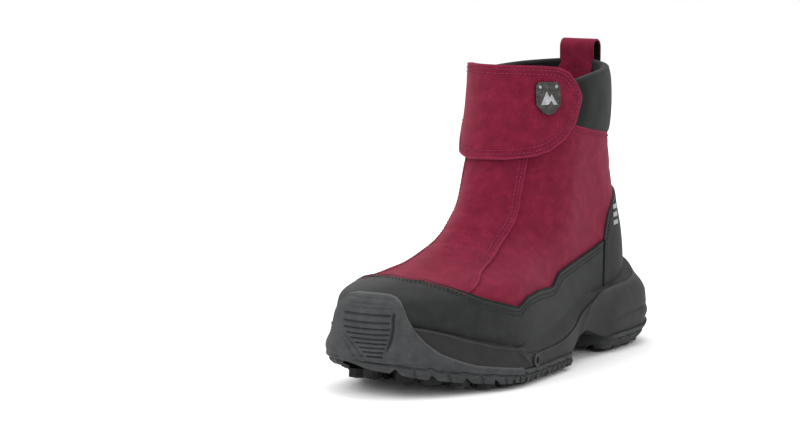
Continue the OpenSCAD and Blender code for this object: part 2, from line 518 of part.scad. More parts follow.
// badge plate lying on the flap: a plain shield with a raised peak on it
badge_t = 0.235;
badge_z = 151.5;
badge_p = off(badge_t, badge_z, f0 + 0.7 + flap_t);
badge_n = unit(off(badge_t, badge_z, 5) - off(badge_t, badge_z, 0));
module on_badge() {
    translate(badge_p + 0.65 * badge_n) rotate([0, 0, atan2(badge_n[1], badge_n[0])])
        rotate([0, 90 - asin(badge_n[2]), 0]) rotate(90) children();
}
module badge_plate() {
    h = badge_w * 0.62;
    place() color([0.28, 0.28, 0.30]) on_badge() linear_extrude(1.3)
        polygon([[-badge_w / 2, h * 0.75], [-badge_w / 2 + 2, h], [badge_w / 2 - 2, h], [badge_w / 2, h * 0.75],
            [badge_w / 2, -h * 0.35], [badge_w / 4, -h * 0.85], [0, -h], [-badge_w / 4, -h * 0.85], [-badge_w / 2, -h * 0.35]]);
}
module badge_emblem() {
    place() color(STEEL) on_badge() translate([0, 0, 1.32]) linear_extrude(0.5)
        polygon([[-5, -3.5], [-1.2, 4], [0.6, 0.6], [1.8, 2.4], [5, -3.5], [2.6, -3.5], [1.6, -1.2], [-0.6, -3.5]]);
}
module badge_rivets() {
    place() color(STEEL) on_badge() for (s = [-1, 1]) translate([s * 5, 6.6, 1.32]) cylinder(r = 0.9, h = 0.5);
}

// ---- pull loop at the back of the collar ----
loop_r = 5.2;
loop_ri = 3.9;
module pull_loop() {
    place() color([0.10, 0.10, 0.11]) translate([-loop_w / 2, LOOP[1], LOOP[2]]) rotate([90, 0, 90]) linear_extrude(loop_w)
        difference() {
            union() {
                translate([0, 4.8]) circle(r = loop_r);
                translate([-loop_r, 0]) square([2 * loop_r, 4.8]);
            }
            translate([0, 4.8]) circle(r = loop_ri);
            translate([-loop_ri, -1]) square([2 * loop_ri, 5.8]);
        }
}
module loop_anchor() {
    place() color([0.10, 0.10, 0.11]) for (m = [[2.5, 0.088], [-6.3, 0.12]]) {
        map = function (u, v) [wrap(1 - m[1] + 2 * m[1] * u), LOOP[2] - 20 + 18.1 * v];
        panel(map, flat(m[0]), flat(m[0] + loop_r - loop_ri), 10, 4);
    }
}

outsole_forefoot();
forefoot_lugs();
outsole_heel();
heel_lugs();
toe_bumper();
toe_ribs();
shank_plate();
midsole();
sidewall_ring();
stud_bases();
stud_tips();
lasting_board();
footbed();
toe_puff();
heel_counter();
lining();
quarter_outer();
quarter_inner_front();
quarter_inner_rear();
shaft_front();
mudguard();
instep_strip();
heel_panel();
reflector_bars();
collar();
collar_binding();
zip_gusset();
zip_tape();
zip_teeth();
zip_top_stops();
zip_bottom_stop();
zip_slider();
zip_puller();
pull_strap();
flap_root();
flap_shell();
flap_lining();
hook_tape();
loop_tape();
badge_plate();
badge_emblem();
badge_rivets();
pull_loop();
loop_anchor();
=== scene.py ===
import math

import bpy
import numpy as np
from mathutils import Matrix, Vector, kdtree

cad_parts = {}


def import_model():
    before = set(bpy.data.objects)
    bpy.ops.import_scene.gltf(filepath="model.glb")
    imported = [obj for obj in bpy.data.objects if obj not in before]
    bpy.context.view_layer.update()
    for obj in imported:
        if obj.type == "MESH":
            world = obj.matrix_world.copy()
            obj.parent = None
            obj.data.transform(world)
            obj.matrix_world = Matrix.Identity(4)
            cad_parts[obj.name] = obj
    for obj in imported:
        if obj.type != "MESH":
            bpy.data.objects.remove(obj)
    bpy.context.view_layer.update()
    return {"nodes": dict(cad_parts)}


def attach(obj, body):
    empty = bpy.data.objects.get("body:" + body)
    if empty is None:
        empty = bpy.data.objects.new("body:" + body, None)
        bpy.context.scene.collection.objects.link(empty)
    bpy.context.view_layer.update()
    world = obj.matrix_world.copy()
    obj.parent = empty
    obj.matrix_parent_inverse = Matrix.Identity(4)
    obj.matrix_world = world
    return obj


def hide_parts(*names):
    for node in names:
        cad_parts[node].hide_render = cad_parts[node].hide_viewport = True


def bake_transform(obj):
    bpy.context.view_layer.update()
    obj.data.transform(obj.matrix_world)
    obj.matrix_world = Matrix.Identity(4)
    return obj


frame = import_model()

# All shapes are worked out in millimetres on the boot's own surface, then moved by SHIFT into the row frame.
SHIFT = np.array([-1.2, -2.55, 0.0])
NODES = frame["nodes"]

# ---------------------------------------------------------------- the boot's surface, as in the CAD
FRONT = [[24, -116], [36, -129], [46, -131], [53, -126], [59, -109], [63, -89], [71, -64], [85, -43],
         [104, -26], [124, -13], [146, -4], [172, 0]]
BACK = [[26, 104], [45, 112], [65, 111], [90, 104], [120, 99], [172, 98]]
FOOT_OUT = [[-135, 30], [-95, 42], [-60, 46], [-20, 42], [20, 36], [60, 33], [90, 33], [120, 32]]
FOOT_IN = [[-135, 42], [-95, 45], [-60, 43], [-20, 36], [20, 31], [60, 31], [90, 32], [120, 32]]
SHAFT_OUT = [[-20, 30], [20, 34], [48, 35], [80, 34], [110, 32]]
SHAFT_IN = [[-20, 30], [20, 33.6], [48, 33.6], [80, 33], [110, 32]]
AXIS = [[-140, -5], [-60, 0], [0, 0], [120, 0]]
SOLE_FRONT = [[0, -120], [6, -128], [14, -134], [24, -137], [36, -136.5], [46, -135], [53, -130.5],
              [59, -114], [63, -94]]
SOLE_BACK = [[0, 128], [6, 134], [12, 139.5], [18, 142], [24, 142], [38, 138.5], [49, 131], [58, 120],
             [70, 115]]
SOLE_OUT = [[-139, 30], [-115, 36], [-95, 42], [-75, 48], [-58, 50], [-45, 49], [-20, 47], [0, 45],
            [12, 42.5], [22, 40], [40, 38.5], [80, 39], [110, 37], [142, 31]]
SOLE_IN = [[-139, 42], [-115, 44.5], [-95, 47], [-75, 47.5], [-60, 46.5], [-20, 40], [20, 35],
           [50, 35], [80, 37], [110, 36.5], [142, 31]]
GROUND = [[-139, 16.5], [-123, 9.4], [-105, 5.6], [-83, 2.5], [-62, 1.2], [119, 1.2], [129, 3.8], [142, 10]]
LUG_H = 4.2
RUBBER_TOP = [[-139, 24], [-119, 20], [-97.5, 15], [-70, 10.5], [-45, 9], [0, 9.5], [55, 10.5],
              [110, 11.5], [135, 14], [143, 16]]
MID_LOW = [[-139, 24.4], [-119, 20.4], [-97.5, 15.4], [-70, 10.9], [-45, 9.4], [7, 9.8], [14, 13],
           [24, 17.4], [38, 17.4], [54, 12], [60, 10.9], [110, 11.9], [135, 14.4], [143, 16.4]]


def sm(a, b, x):
    """Smooth step from 0 at a to 1 at b."""
    t = np.clip((np.asarray(x, float) - a) / (b - a), 0, 1)
    return t * t * (3 - 2 * t)


def bump(x, width):
    return np.exp(-(x / width) ** 2)


def mix(a, b, u):
    return a + (b - a) * u


def tz(t, z):
    """A polyline on the boot as (t, z) rows."""
    return np.stack([t, z], 1)


def lin(table, x):
    table = np.asarray(table, float)
    return np.interp(x, table[:, 0], table[:, 1])


def spl(table, x):
    """Smooth curve through a table of points."""
    table = np.asarray(table, float)
    X, Y = table[:, 0], table[:, 1]
    x = np.clip(np.asarray(x, float), X[0], X[-1])
    h, d = np.diff(X), np.diff(Y) / np.diff(X)
    m = np.zeros(len(X))
    m[0], m[-1] = d[0], d[-1]
    m[1:-1] = (d[:-1] * h[1:] + d[1:] * h[:-1]) / (h[:-1] + h[1:])
    i = np.clip(np.searchsorted(X, x, side="right") - 1, 0, len(X) - 2)
    w, t = h[i], (x - X[i]) / h[i]
    return ((1 + 2 * t) * (1 - t) ** 2 * Y[i] + t * (1 - t) ** 2 * w * m[i]
            + t * t * (3 - 2 * t) * Y[i + 1] + t * t * (t - 1) * w * m[i + 1])


def round_end(u, p):
    return (1 - (1 - np.clip(u, 0, 1)) ** p) ** (1 / p)


def wrap(t):
    t = np.asarray(t, float)
    return np.where(t > 1, t - 2, np.where(t < -1, t + 2, t))


def along_y(yf, yb, t):
    """Place along the boot at t, from yf at the front to yb at the back."""
    return yf + (yb - yf) * (1 - np.cos(np.pi * np.abs(t))) / 2


def sp(t, z):
    """Point of the upper: t is 0 at the front and 1 at the back by the outer side, negative by the inner."""
    t, z = np.broadcast_arrays(wrap(t), np.asarray(z, float))
    yf, yb = spl(FRONT, z), spl(BACK, z)
    y = along_y(yf, yb, t)
    k = sm(70, 165, z)
    af, ab = 62 - 14 * sm(60, 130, z), 38 + 10 * sm(60, 130, z)
    pf = 2.2 - 0.65 * sm(50, 62, z) + 0.45 * sm(90, 130, z)
    e = (round_end((y - yf) / af, pf) * round_end((yb - y) / ab, 2.1)
         * (1 - 0.25 * sm(44, 84, z) * sm(24, -24, y) * (1 - k)))
    w = np.where(t >= 0, spl(FOOT_OUT, y) * (1 - k) + spl(SHAFT_OUT, y) * k,
                 spl(FOOT_IN, y) * (1 - k) + spl(SHAFT_IN, y) * k)
    return np.stack([spl(AXIS, y) + np.where(t < 0, -1, 1) * w * e, y, z], -1)


def ty(y, z):
    yf, yb = spl(FRONT, z), spl(BACK, z)
    return np.arccos(np.clip(1 - 2 * (np.asarray(y, float) - yf) / (yb - yf), -1, 1)) / np.pi


def unit(v):
    return v / np.maximum(1e-6, np.linalg.norm(v, axis=-1, keepdims=True))


def normal(t, z):
    t, z = np.broadcast_arrays(np.asarray(t, float), np.asarray(z, float))
    return unit(np.cross(sp(t + 0.012, z) - sp(t - 0.012, z), sp(t, z + 0.5) - sp(t, z - 0.5)))


def off(t, z, d):
    return sp(t, z) + np.asarray(d, float)[..., None] * normal(t, z)


def sole_half(y, z, s):
    tuck = (np.where(s > 0, 2.5, 7.5) * sm(22, 6, z) * sm(-72, -102, y) + 5 * sm(13, 0, z) * sm(20, 60, y)
            + 2 * sm(10, 0, z) * sm(20, -20, y))
    return np.where(s > 0, spl(SOLE_OUT, y), spl(SOLE_IN, y)) - tuck


def sole_pt(t, z, e=0.0):
    t, z, e = np.broadcast_arrays(wrap(t), np.asarray(z, float), np.asarray(e, float))
    yf, yb = lin(SOLE_FRONT, z) - e, lin(SOLE_BACK, z) + e
    y = along_y(yf, yb, t)
    w = sole_half(y, z, t) + e
    x = spl(AXIS, y) + (np.where(t < 0, -1, 1) * w
                        * round_end((y - yf) / 54, 2.3) * round_end((yb - y) / 38, 2.2))
    return np.stack([x, y, z], -1)


def lap_pt(t, z, e=0.0):
    """The sole's wall, leaning out with the upper over the toe."""
    a, b = sole_pt(t, z, e), off(t, np.maximum(z, 27), 2.9 + np.asarray(e, float))
    r = sm(0.62, 0.76, np.abs(wrap(t)))
    u = np.clip((z - 24 - 6 * r) / (26 + r), 0, 1)
    k = (u * u * (3 - 2 * u))[..., None]
    return a * (1 - k) + b * k


def wall_pt(t, z, e=0.0):
    p = lap_pt(t, z, e)
    p[..., 2] = z
    return p


def sole_y(t):
    return along_y(-137, 142, wrap(t))


# ---------------------------------------------------------------- materials
def srgb(colour):
    c = np.array(colour) / 255.0
    return [*np.where(c <= 0.04045, c / 12.92, ((c + 0.055) / 1.055) ** 2.4), 1.0]


class Nodes:
    """A short way to write shader nodes."""

    def __init__(self, name):
        self.mat = bpy.data.materials.new(name)
        self.mat.use_nodes = True
        self.tree = self.mat.node_tree
        self.bsdf = self.tree.nodes["Principled BSDF"]

    def add(self, kind, sets=None, **links):
        n = self.tree.nodes.new(kind)
        for k, v in (sets or {}).items():
            setattr(n, k, v)
        for k, v in links.items():
            numbered = k[0] == "i" and k[1:].isdigit()
            self.put(n.inputs[int(k[1:])] if numbered else n.inputs[k.replace("_", " ")], v)
        return n

    def put(self, socket, v):
        if isinstance(v, bpy.types.NodeSocket):
            self.tree.links.new(v, socket)
        else:
            socket.default_value = v

    def math(self, op, a, b=0.0):
        return self.add("ShaderNodeMath", {"operation": op}, i0=a, i1=b).outputs[0]

    def ramp(self, fac, stops):
        n = self.add("ShaderNodeValToRGB", None, i0=fac)
        el = n.color_ramp.elements
        while len(el) < len(stops):
            el.new(0.5)
        for e, (pos, col) in zip(el, stops):
            e.position, e.color = pos, col
        return n.outputs[0]

    def mix(self, fac, a, b):
        n = self.add("ShaderNodeMix", {"data_type": "RGBA"}, i0=fac, i6=a, i7=b)
        return n.outputs[2]


def material(name, colours, rough=0.7, blotch=14.0, grain=0.7, bump=0.12, strength=0.5, pattern=None, size=1.2,
             deep=0.5, sheen=0.0, sheen_tint=(1, 1, 1), metallic=0.0, specular=0.5, edge=None, rough_var=0.08,
             span=(0.3, 0.7)):
    """Procedural finish in millimetres, from dark to light. pattern: pebble, weave, knit, rib or brushed."""
    dark, mid, light = map(srgb, colours)
    n = Nodes(name)
    at = n.add("ShaderNodeTexCoord").outputs["Object"]
    mm = n.add("ShaderNodeVectorMath", {"operation": "SCALE"}, i0=at, Scale=1000.0).outputs[0]
    uv = n.add("ShaderNodeUVMap", {"uv_map": "mm"}).outputs[0]
    big = n.add("ShaderNodeTexNoise", None, Vector=mm, Scale=1 / blotch, Detail=4.0, Roughness=0.55).outputs[0]
    fine = n.add("ShaderNodeTexNoise", None, Vector=mm, Scale=1 / grain, Detail=5.0, Roughness=0.7).outputs[0]
    fac = n.math("ADD", n.math("MULTIPLY", big, 0.5), n.math("MULTIPLY", fine, 0.5))
    height = fine
    col = n.ramp(fac, [(span[0], dark), (0.5, mid), (span[1], light)])
    if pattern == "pebble":
        cells = n.add("ShaderNodeTexVoronoi", {"feature": "SMOOTH_F1"}, Vector=mm, Scale=1 / size, Randomness=1.0)
        v = cells.outputs[0]
        height = n.math("SUBTRACT", n.math("MULTIPLY", fine, 0.4), v)
        # darker in the pebbles' hollows: painted shade in the grain's recesses
        col = n.mix(n.math("MULTIPLY", v, deep * 0.6), col, dark)
    elif pattern in ("weave", "knit", "rib"):
        u, v = n.add("ShaderNodeSeparateXYZ", None, i0=uv).outputs[:2]
        if pattern == "knit":
            u, v = n.math("ADD", u, v), n.math("SUBTRACT", u, v)
        w = 2 * math.pi / size
        across, along = (0.5, 2) if pattern == "rib" else (1, 1)
        a = n.math("SINE", n.math("MULTIPLY", u, w * across))
        b = n.math("SINE", n.math("MULTIPLY", v, w * along))
        p = n.math("MULTIPLY", n.math("MULTIPLY", a, b), 0.5)
        height = n.math("ADD", n.math("MULTIPLY", fine, 0.5), p)
        # darker where the weave dips: painted shade in its hollows
        col = n.mix(n.math("ADD", n.math("MULTIPLY", p, -deep), deep * 0.5), col, dark)
    elif pattern == "brushed":
        st = n.add("ShaderNodeMapping", None, Vector=mm, Scale=(6.0, 6.0, 0.3))
        height = n.add("ShaderNodeTexNoise", None, Vector=st.outputs[0], Scale=0.8, Detail=4.0).outputs[0]
    # Lighter colour along panel edges and lips: partly raw cut edges and edge wear, partly a painted highlight
    # where edges catch the light.
    if edge is not None:
        amount = n.add("ShaderNodeAttribute", {"attribute_name": "edge"}).outputs["Fac"]
        edge_wear_and_highlight = n.math("MULTIPLY", amount, n.math("ADD", fine, 0.25))
        col = n.mix(edge_wear_and_highlight, col, srgb(edge))
    r = n.add("ShaderNodeMapRange", None, Value=height if pattern == "brushed" else fine,
              i3=rough - rough_var, i4=min(1.0, rough + rough_var))
    relief = n.add("ShaderNodeBump", None, Height=height, Strength=strength, Distance=bump / 1000)
    for socket, value in (("Base Color", col), ("Roughness", r.outputs[0]), ("Metallic", metallic),
                          ("Specular IOR Level", specular), ("Sheen Weight", sheen), ("Sheen Roughness", 0.5),
                          ("Sheen Tint", (*sheen_tint, 1.0)), ("Normal", relief.outputs[0])):
        n.put(n.bsdf.inputs[socket], value)
    return n.mat


def look(colours, **settings):
    return {"colours": colours, **settings}


# The edge colours lighten panel edges: partly cut edges and wear, partly a painted highlight.
LOOKS = {
    "suede": look([(80, 13, 31), (103, 20, 42), (126, 32, 56)], rough=0.93, blotch=7, grain=1.1, bump=0.2,
        strength=0.75, sheen=0.16, sheen_tint=(1.0, 0.35, 0.45), specular=0.1, edge=(124, 36, 60),
        span=(0.25, 0.75)),
    "suede_dark": look([(68, 11, 27), (88, 16, 36), (108, 26, 48)], rough=0.94, blotch=7, grain=1.0,
        bump=0.2, strength=0.75, sheen=0.12, sheen_tint=(0.9, 0.4, 0.55), specular=0.08, edge=(104, 28,
        50), span=(0.25, 0.75)),
    "leather": look([(21, 22, 22), (30, 31, 31), (41, 42, 42)], rough=0.66, blotch=9, pattern="pebble",
        size=1.1, specular=0.22, edge=(50, 54, 53)),
    "rubber": look([(44, 45, 46), (56, 57, 58), (69, 70, 71)], rough=0.74, blotch=6, bump=0.1,
        strength=0.6, specular=0.22, edge=(86, 87, 88)),
    "tread": look([(24, 24, 25), (36, 36, 37), (50, 50, 51)], rough=0.8, blotch=5, grain=0.6, strength=0.6,
        specular=0.2),
    # foam's edge colour is a painted highlight along the midsole's upper lip
    "foam": look([(25, 25, 26), (34, 34, 35), (43, 43, 44)], rough=0.66, blotch=9, grain=0.6, bump=0.06,
        strength=0.45, specular=0.25, edge=(60, 61, 62)),
    "neoprene": look([(20, 22, 22), (28, 31, 31), (37, 40, 40)], rough=0.9, blotch=10, grain=0.6,
        strength=0.55, pattern="knit", size=1.1, deep=0.35, sheen=0.08, specular=0.12, edge=(40, 44, 44)),
    "lining": look([(13, 14, 14), (21, 22, 23), (31, 32, 34)], rough=0.95, grain=0.5, bump=0.2,
        strength=0.8, pattern="weave", size=1.4, sheen=0.1, specular=0.08),
    "footbed": look([(26, 26, 29), (37, 37, 41), (50, 50, 55)], rough=0.93, grain=0.5, bump=0.15,
        strength=0.7, pattern="weave", deep=0.4, sheen=0.1, specular=0.1),
    "board": look([(112, 101, 80), (134, 123, 100), (152, 142, 120)], rough=0.9, grain=0.6,
        pattern="weave", size=0.8, deep=0.2, specular=0.2),
    "stiffener": look([(112, 112, 109), (128, 128, 125), (144, 144, 141)], rough=0.85, grain=0.5,
        specular=0.2),
    "plastic": look([(12, 12, 13), (19, 19, 20), (28, 28, 30)], rough=0.42, grain=0.6, bump=0.04,
        specular=0.4),
    "webbing": look([(10, 10, 11), (17, 17, 18), (28, 28, 30)], rough=0.9, grain=0.4, bump=0.25,
        strength=0.9, pattern="rib", size=1.6, deep=0.6, specular=0.12),
    "tape": look([(9, 9, 10), (15, 15, 17), (24, 24, 26)], rough=0.9, grain=0.3, bump=0.15, strength=0.8,
        pattern="rib", size=0.9, deep=0.6, specular=0.12),
    "coil": look([(14, 15, 14), (24, 25, 24), (38, 40, 38)], rough=0.4, grain=0.5, bump=0.04,
        specular=0.45),
    "hookloop": look([(9, 9, 10), (17, 17, 19), (34, 34, 36)], rough=0.97, grain=0.35, bump=0.4,
        strength=1.0, pattern="pebble", size=0.7, deep=1.0, sheen=0.15, specular=0.06),
    "metal": look([(120, 121, 124), (152, 153, 156), (182, 183, 186)], rough=0.24, blotch=4, grain=0.6,
        bump=0.02, strength=0.4, pattern="brushed", metallic=1.0, rough_var=0.1),
    "gunmetal": look([(44, 43, 43), (66, 65, 64), (98, 97, 95)], rough=0.34, blotch=3, grain=0.8,
        bump=0.06, strength=0.6, metallic=1.0, rough_var=0.14),
    "steel": look([(90, 91, 94), (116, 117, 120), (142, 143, 146)], rough=0.34, blotch=3, grain=0.4,
        bump=0.05, pattern="brushed", metallic=1.0, rough_var=0.12),
    "reflective": look([(118, 120, 122), (138, 140, 142), (158, 160, 162)], rough=0.4, grain=0.5,
        bump=0.05, strength=0.7, pattern="knit", size=0.9, deep=0.25, metallic=0.3),
    "thread": look([(92, 26, 48), (120, 40, 66), (146, 60, 88)], rough=0.75, blotch=3, grain=0.4,
        bump=0.05, specular=0.2),
    "thread_dark": look([(24, 27, 27), (38, 42, 41), (54, 58, 57)], rough=0.75, blotch=3, grain=0.4,
        bump=0.05, specular=0.2),
    "bead": look([(12, 16, 15), (18, 23, 22), (27, 32, 31)], blotch=5, grain=0.5, bump=0.08,
        specular=0.15),
}
M = {name: material(name, **settings) for name, settings in LOOKS.items()}


# ---------------------------------------------------------------- mesh tools
def round_edges(o, width, angle, segments=2):
    b = o.modifiers.new("bevel", "BEVEL")
    b.width, b.segments, b.limit_method, b.angle_limit = width / 1000, segments, "ANGLE", math.radians(angle)


def finish_piece(o, mats, body, replaces=(), bevel=0.0):
    for m in mats if isinstance(mats, list) else [mats]:
        o.data.materials.append(M[m])
    if bevel:
        round_edges(o, bevel, 45)
    if body:
        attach(o, body)
    if replaces:
        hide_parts(*replaces)
    return o


def mesh_object(name, points, faces, uv=None, edge=None, face_mat=None):
    pts = (np.asarray(points, float).reshape(-1, 3) + SHIFT) / 1000
    me = bpy.data.meshes.new(name)
    me.from_pydata(pts.tolist(), [], [list(map(int, f)) for f in faces])
    me.validate()
    me.update()
    layer = me.uv_layers.new(name="mm")
    if uv is not None:
        idx = np.zeros(len(me.loops), int)
        me.loops.foreach_get("vertex_index", idx)
        layer.data.foreach_set("uv", np.asarray(uv, np.float32).reshape(-1, 2)[idx].ravel())
    if edge is not None:
        a = me.attributes.new("edge", "FLOAT", "POINT")
        a.data.foreach_set("value", np.asarray(edge, np.float32).ravel())
    me.polygons.foreach_set("use_smooth", [True] * len(me.polygons))
    if face_mat is not None and len(face_mat) == len(me.polygons):
        me.polygons.foreach_set("material_index", np.asarray(face_mat, np.int32))
    me.set_sharp_from_angle(angle=math.radians(38))
    o = bpy.data.objects.new(name, me)
    bpy.context.scene.collection.objects.link(o)
    return o


def grid_faces(nv, nu, start=0, closed=False, flip=False):
    j, i = np.meshgrid(np.arange(nv - 1), np.arange(nu if closed else nu - 1), indexing="ij")
    a, b = start + j * nu + i, start + j * nu + (i + 1) % nu
    q = np.stack([a, b, b + nu, a + nu], -1).reshape(-1, 4)
    return q[:, ::-1] if flip else q


def run(p, axis=0):
    """Running length along one direction of a row or a grid of points, in millimetres."""
    steps = np.cumsum(np.linalg.norm(np.diff(p, axis=axis), axis=-1), axis)
    return np.concatenate([np.zeros_like(steps.take([0], axis)), steps], axis)


def mm_map(p):
    return np.stack([run(p, 1), run(p, 0)], -1)


def shell(name, outer, inner, closed=False, edge=None, face_mat=None, flip=False):
    """Closed sheet between two grids of points, each [v][u]."""
    nv, nu = outer.shape[:2]
    n = nv * nu
    faces = [grid_faces(nv, nu, 0, closed), grid_faces(nv, nu, n, closed, True)]
    kinds = [0] * len(faces[0]) + [1] * len(faces[1])
    i = np.arange(nu if closed else nu - 1)
    b = (i + 1) % nu
    faces.append(np.stack([i, n + i, n + b, b], -1))
    top = (nv - 1) * nu
    faces.append(np.stack([top + i, top + b, n + top + b, n + top + i], -1))
    if not closed:
        j = np.arange(nv - 1) * nu
        faces.append(np.stack([j, j + nu, n + j + nu, n + j], -1))
        j = j + nu - 1
        faces.append(np.stack([j, n + j, n + j + nu, j + nu], -1))
    faces = np.concatenate(faces)
    kinds += [2] * (len(faces) - len(kinds))
    uv = mm_map(outer).reshape(-1, 2)
    e = None if edge is None else np.concatenate([edge.ravel(), edge.ravel()])
    mats = None if face_mat is None else [face_mat[k] for k in kinds]
    return mesh_object(name, np.concatenate([outer.reshape(-1, 3), inner.reshape(-1, 3)]),
                       faces[:, ::-1] if flip else faces, np.concatenate([uv, uv]), e, mats)


def spaced(n, ends=0.0):
    """n + 1 values from 0 to 1, crowded towards both ends by the share ends."""
    x = np.linspace(0, 1, n + 1)
    return x * (1 - ends) + ends * (1 - np.cos(np.pi * x)) / 2


def border_at(curve):
    """KD tree of border points given as (t, z) rows, at surface level."""
    p = off(curve[:, 0], curve[:, 1], np.zeros(len(curve)))
    tree = kdtree.KDTree(len(p))
    for i, q in enumerate(p):
        tree.insert(q, i)
    tree.balance()
    return tree


def border_of(*curves):
    return border_at(np.concatenate([dense(c) for c in curves]))


def away(tree, points):
    return np.array([tree.find(q)[2] for q in points.reshape(-1, 3)]).reshape(points.shape[:-1])


def dense(curve, step=0.6):
    """A (t, z) polyline with its points step millimetres apart on the surface."""
    curve = np.asarray(curve, float)
    for _ in range(2):
        s = run(sp(curve[:, 0], curve[:, 1]))
        keep = np.concatenate([[True], np.diff(s) > 1e-6])
        curve, s = curve[keep], s[keep]
        q = np.linspace(0, s[-1], max(3, int(s[-1] / step)))
        curve = tz(np.interp(q, s, curve[:, 0]), np.interp(q, s, curve[:, 1]))
    return curve


def inset(curve, dist, tree=None):
    """The (t, z) polyline moved dist millimetres to its left along the surface."""
    c = dense(curve)
    t, z = c[:, 0], c[:, 1]
    pt = (sp(t + 1e-3, z) - sp(t - 1e-3, z)) / 2e-3
    pz = (sp(t, z + 0.05) - sp(t, z - 0.05)) / 0.1
    n = normal(t, z)
    p = sp(t, z)
    tangent = unit(np.gradient(p, axis=0))
    k = 5
    pad = np.concatenate([np.repeat(tangent[:1], k, 0), tangent, np.repeat(tangent[-1:], k, 0)])
    tangent = unit(sum(pad[i:i + len(tangent)] for i in range(2 * k + 1)))
    b = unit(np.cross(n, tangent)) * dist
    g11, g12, g22 = (pt * pt).sum(1), (pt * pz).sum(1), (pz * pz).sum(1)
    r1, r2 = (pt * b).sum(1), (pz * b).sum(1)
    det = g11 * g22 - g12 * g12
    c = c + tz((g22 * r1 - g12 * r2) / det, (g11 * r2 - g12 * r1) / det)
    if tree is not None:
        c = c[away(tree, sp(c[:, 0], c[:, 1])) > abs(dist) * 0.9]
    return dense(c)


def smooth_path(p, n=2):
    for _ in range(n):
        p = np.concatenate([p[:1], (p[:-2] + 2 * p[1:-1] + p[2:]) / 4, p[-1:]])
    return p


def hoops(line, radius, a, b, sides):
    """A ring of points round each point of a line, in the plane of the directions a and b."""
    ang = np.linspace(0, 2 * np.pi, sides, endpoint=False)[None, :, None]
    r = np.broadcast_to(radius, (len(line),))[:, None, None]
    return line[:, None] + r * (np.cos(ang) * a[:, None] + np.sin(ang) * b[:, None])


def rod_faces(rings, sides, start=0, flip=False):
    """Faces of a closed rod made of rings of points, its two ends included."""
    first = list(range(start, start + sides))
    last = [i + (rings - 1) * sides for i in first]
    ends = [first, last[::-1]] if flip else [first[::-1], last]
    return grid_faces(rings, sides, start, True, flip).tolist() + ends


STITCH = 1.75
GAP = 0.75


def stitches(name, rows, mat, body, radius=0.3, length=STITCH, gap=GAP):
    """Rows of thread, each (points, normals). Every stitch is a small bent capsule that dips at both ends."""
    sides, rings = 6, 6
    arch = np.sin(np.pi * np.linspace(0, 1, rings)) ** 0.5
    pts, faces = [], []
    for p, nrm in rows:
        s = run(p)
        for c in range(int((s[-1] - 1) / (length + gap))):
            q = 0.5 + c * (length + gap) + np.linspace(0, length, rings)
            mid = np.stack([np.interp(q, s, p[:, k]) for k in range(3)], 1)
            up = unit(np.stack([np.interp(q, s, nrm[:, k]) for k in range(3)], 1))
            side = unit(np.cross(unit(np.gradient(mid, axis=0)), up))
            mid = mid + up * (radius * (arch - 0.55))[:, None]
            faces += rod_faces(rings, sides, len(pts) * rings * sides, True)
            pts.append(hoops(mid, radius * (0.45 + 0.55 * arch), side, up, sides).reshape(-1, 3))
    return finish_piece(mesh_object(name, np.concatenate(pts), faces), mat, body)


def seam(curve, dist, height, tree=None):
    """Line of stitching dist millimetres beside a (t, z) polyline, as (points, normals)."""
    t, z = inset(curve, dist, tree).T
    return smooth_path(off(t, z, np.full(len(t), height))), normal(t, z)


def cord_on(name, curve, height, radius, sides=8):
    """Round cord of the edge leather along a (t, z) polyline, on the mudguard's slot."""
    p = smooth_path(off(curve[:, 0], curve[:, 1], np.full(len(curve), height)), 1)
    ahead = unit(np.gradient(p, axis=0))
    a = unit(np.cross(ahead, np.array([0.0, 0.0, 1.0])))
    b = unit(np.cross(a, ahead))
    ang = np.linspace(0, 2 * np.pi, sides, endpoint=False)
    uv = np.stack(np.broadcast_arrays(ang * radius, run(p)[:, None]), -1)
    o = mesh_object(name, hoops(p, radius, a, b, sides), rod_faces(len(p), sides, 0, True), uv)
    return finish_piece(o, "bead", "boot")


def ripple(p, amount):
    """Soft uneven swelling of a skin, from a few crossed waves."""
    x, y, z = p[..., 0], p[..., 1], p[..., 2]
    swell = np.sin(x / 5.3 + z / 7.1 + 1.0) * np.sin(y / 8.7 - z / 6.3)
    swell = swell + 0.6 * np.sin(y / 4.1 + x / 9.0 + 2.0) * np.sin(z / 4.9 + 0.7)
    return amount * (swell + 0.5 * np.sin((x + y + z) / 3.1)) / 2.1


def panel(name, mapping, d0, d1, nu, nv, mat, replaces=(), body="boot", closed=False, border=None,
          rows=(), wave=0.0, crease=None, bevel=0.45, ends=0.15):
    """A panel of the upper from height d0 to d1. border holds its visible edges, rows the stitches' distances."""
    U, V = np.meshgrid(spaced(nu, ends)[:-1] if closed else spaced(nu, ends), spaced(nv, ends))
    T, Z = mapping(U, V)
    base = sp(T, Z)
    D = np.zeros(T.shape) + (d1(U, V) if callable(d1) else d1) + ripple(base, wave)
    edge = None
    if border is not None:
        s = away(border, base)
        for r in rows:
            D -= 0.24 * bump(s - r, 0.8)
        edge = bump(s, 0.9)
    if crease is not None:
        D = D + crease(base)
    D = np.maximum(D, d0 + 0.3)
    o = shell(name, off(T, Z, D), off(T, Z, np.full(T.shape, d0)), closed, edge)
    return finish_piece(o, mat, body, replaces, bevel)


def keep_cad(name, mat, bevel=0.0, segments=2):
    """A CAD node that stays as it is: a finish, and small rounded edges."""
    o = NODES[name]
    o.data.materials.clear()
    o.data.materials.append(M[mat])
    if bevel:
        round_edges(o, bevel, 35, segments)


# ---------------------------------------------------------------- zip line
ZIP_A, ZIP_B = np.array([-32.2, 31.6, 164]), np.array([-31.3, 25, 62])


def zip_y(z):
    """The zip's line at height z, held below its foot."""
    return ZIP_B[1] + (np.maximum(z, 58) - ZIP_B[2]) * (ZIP_A[1] - ZIP_B[1]) / (ZIP_A[2] - ZIP_B[2])


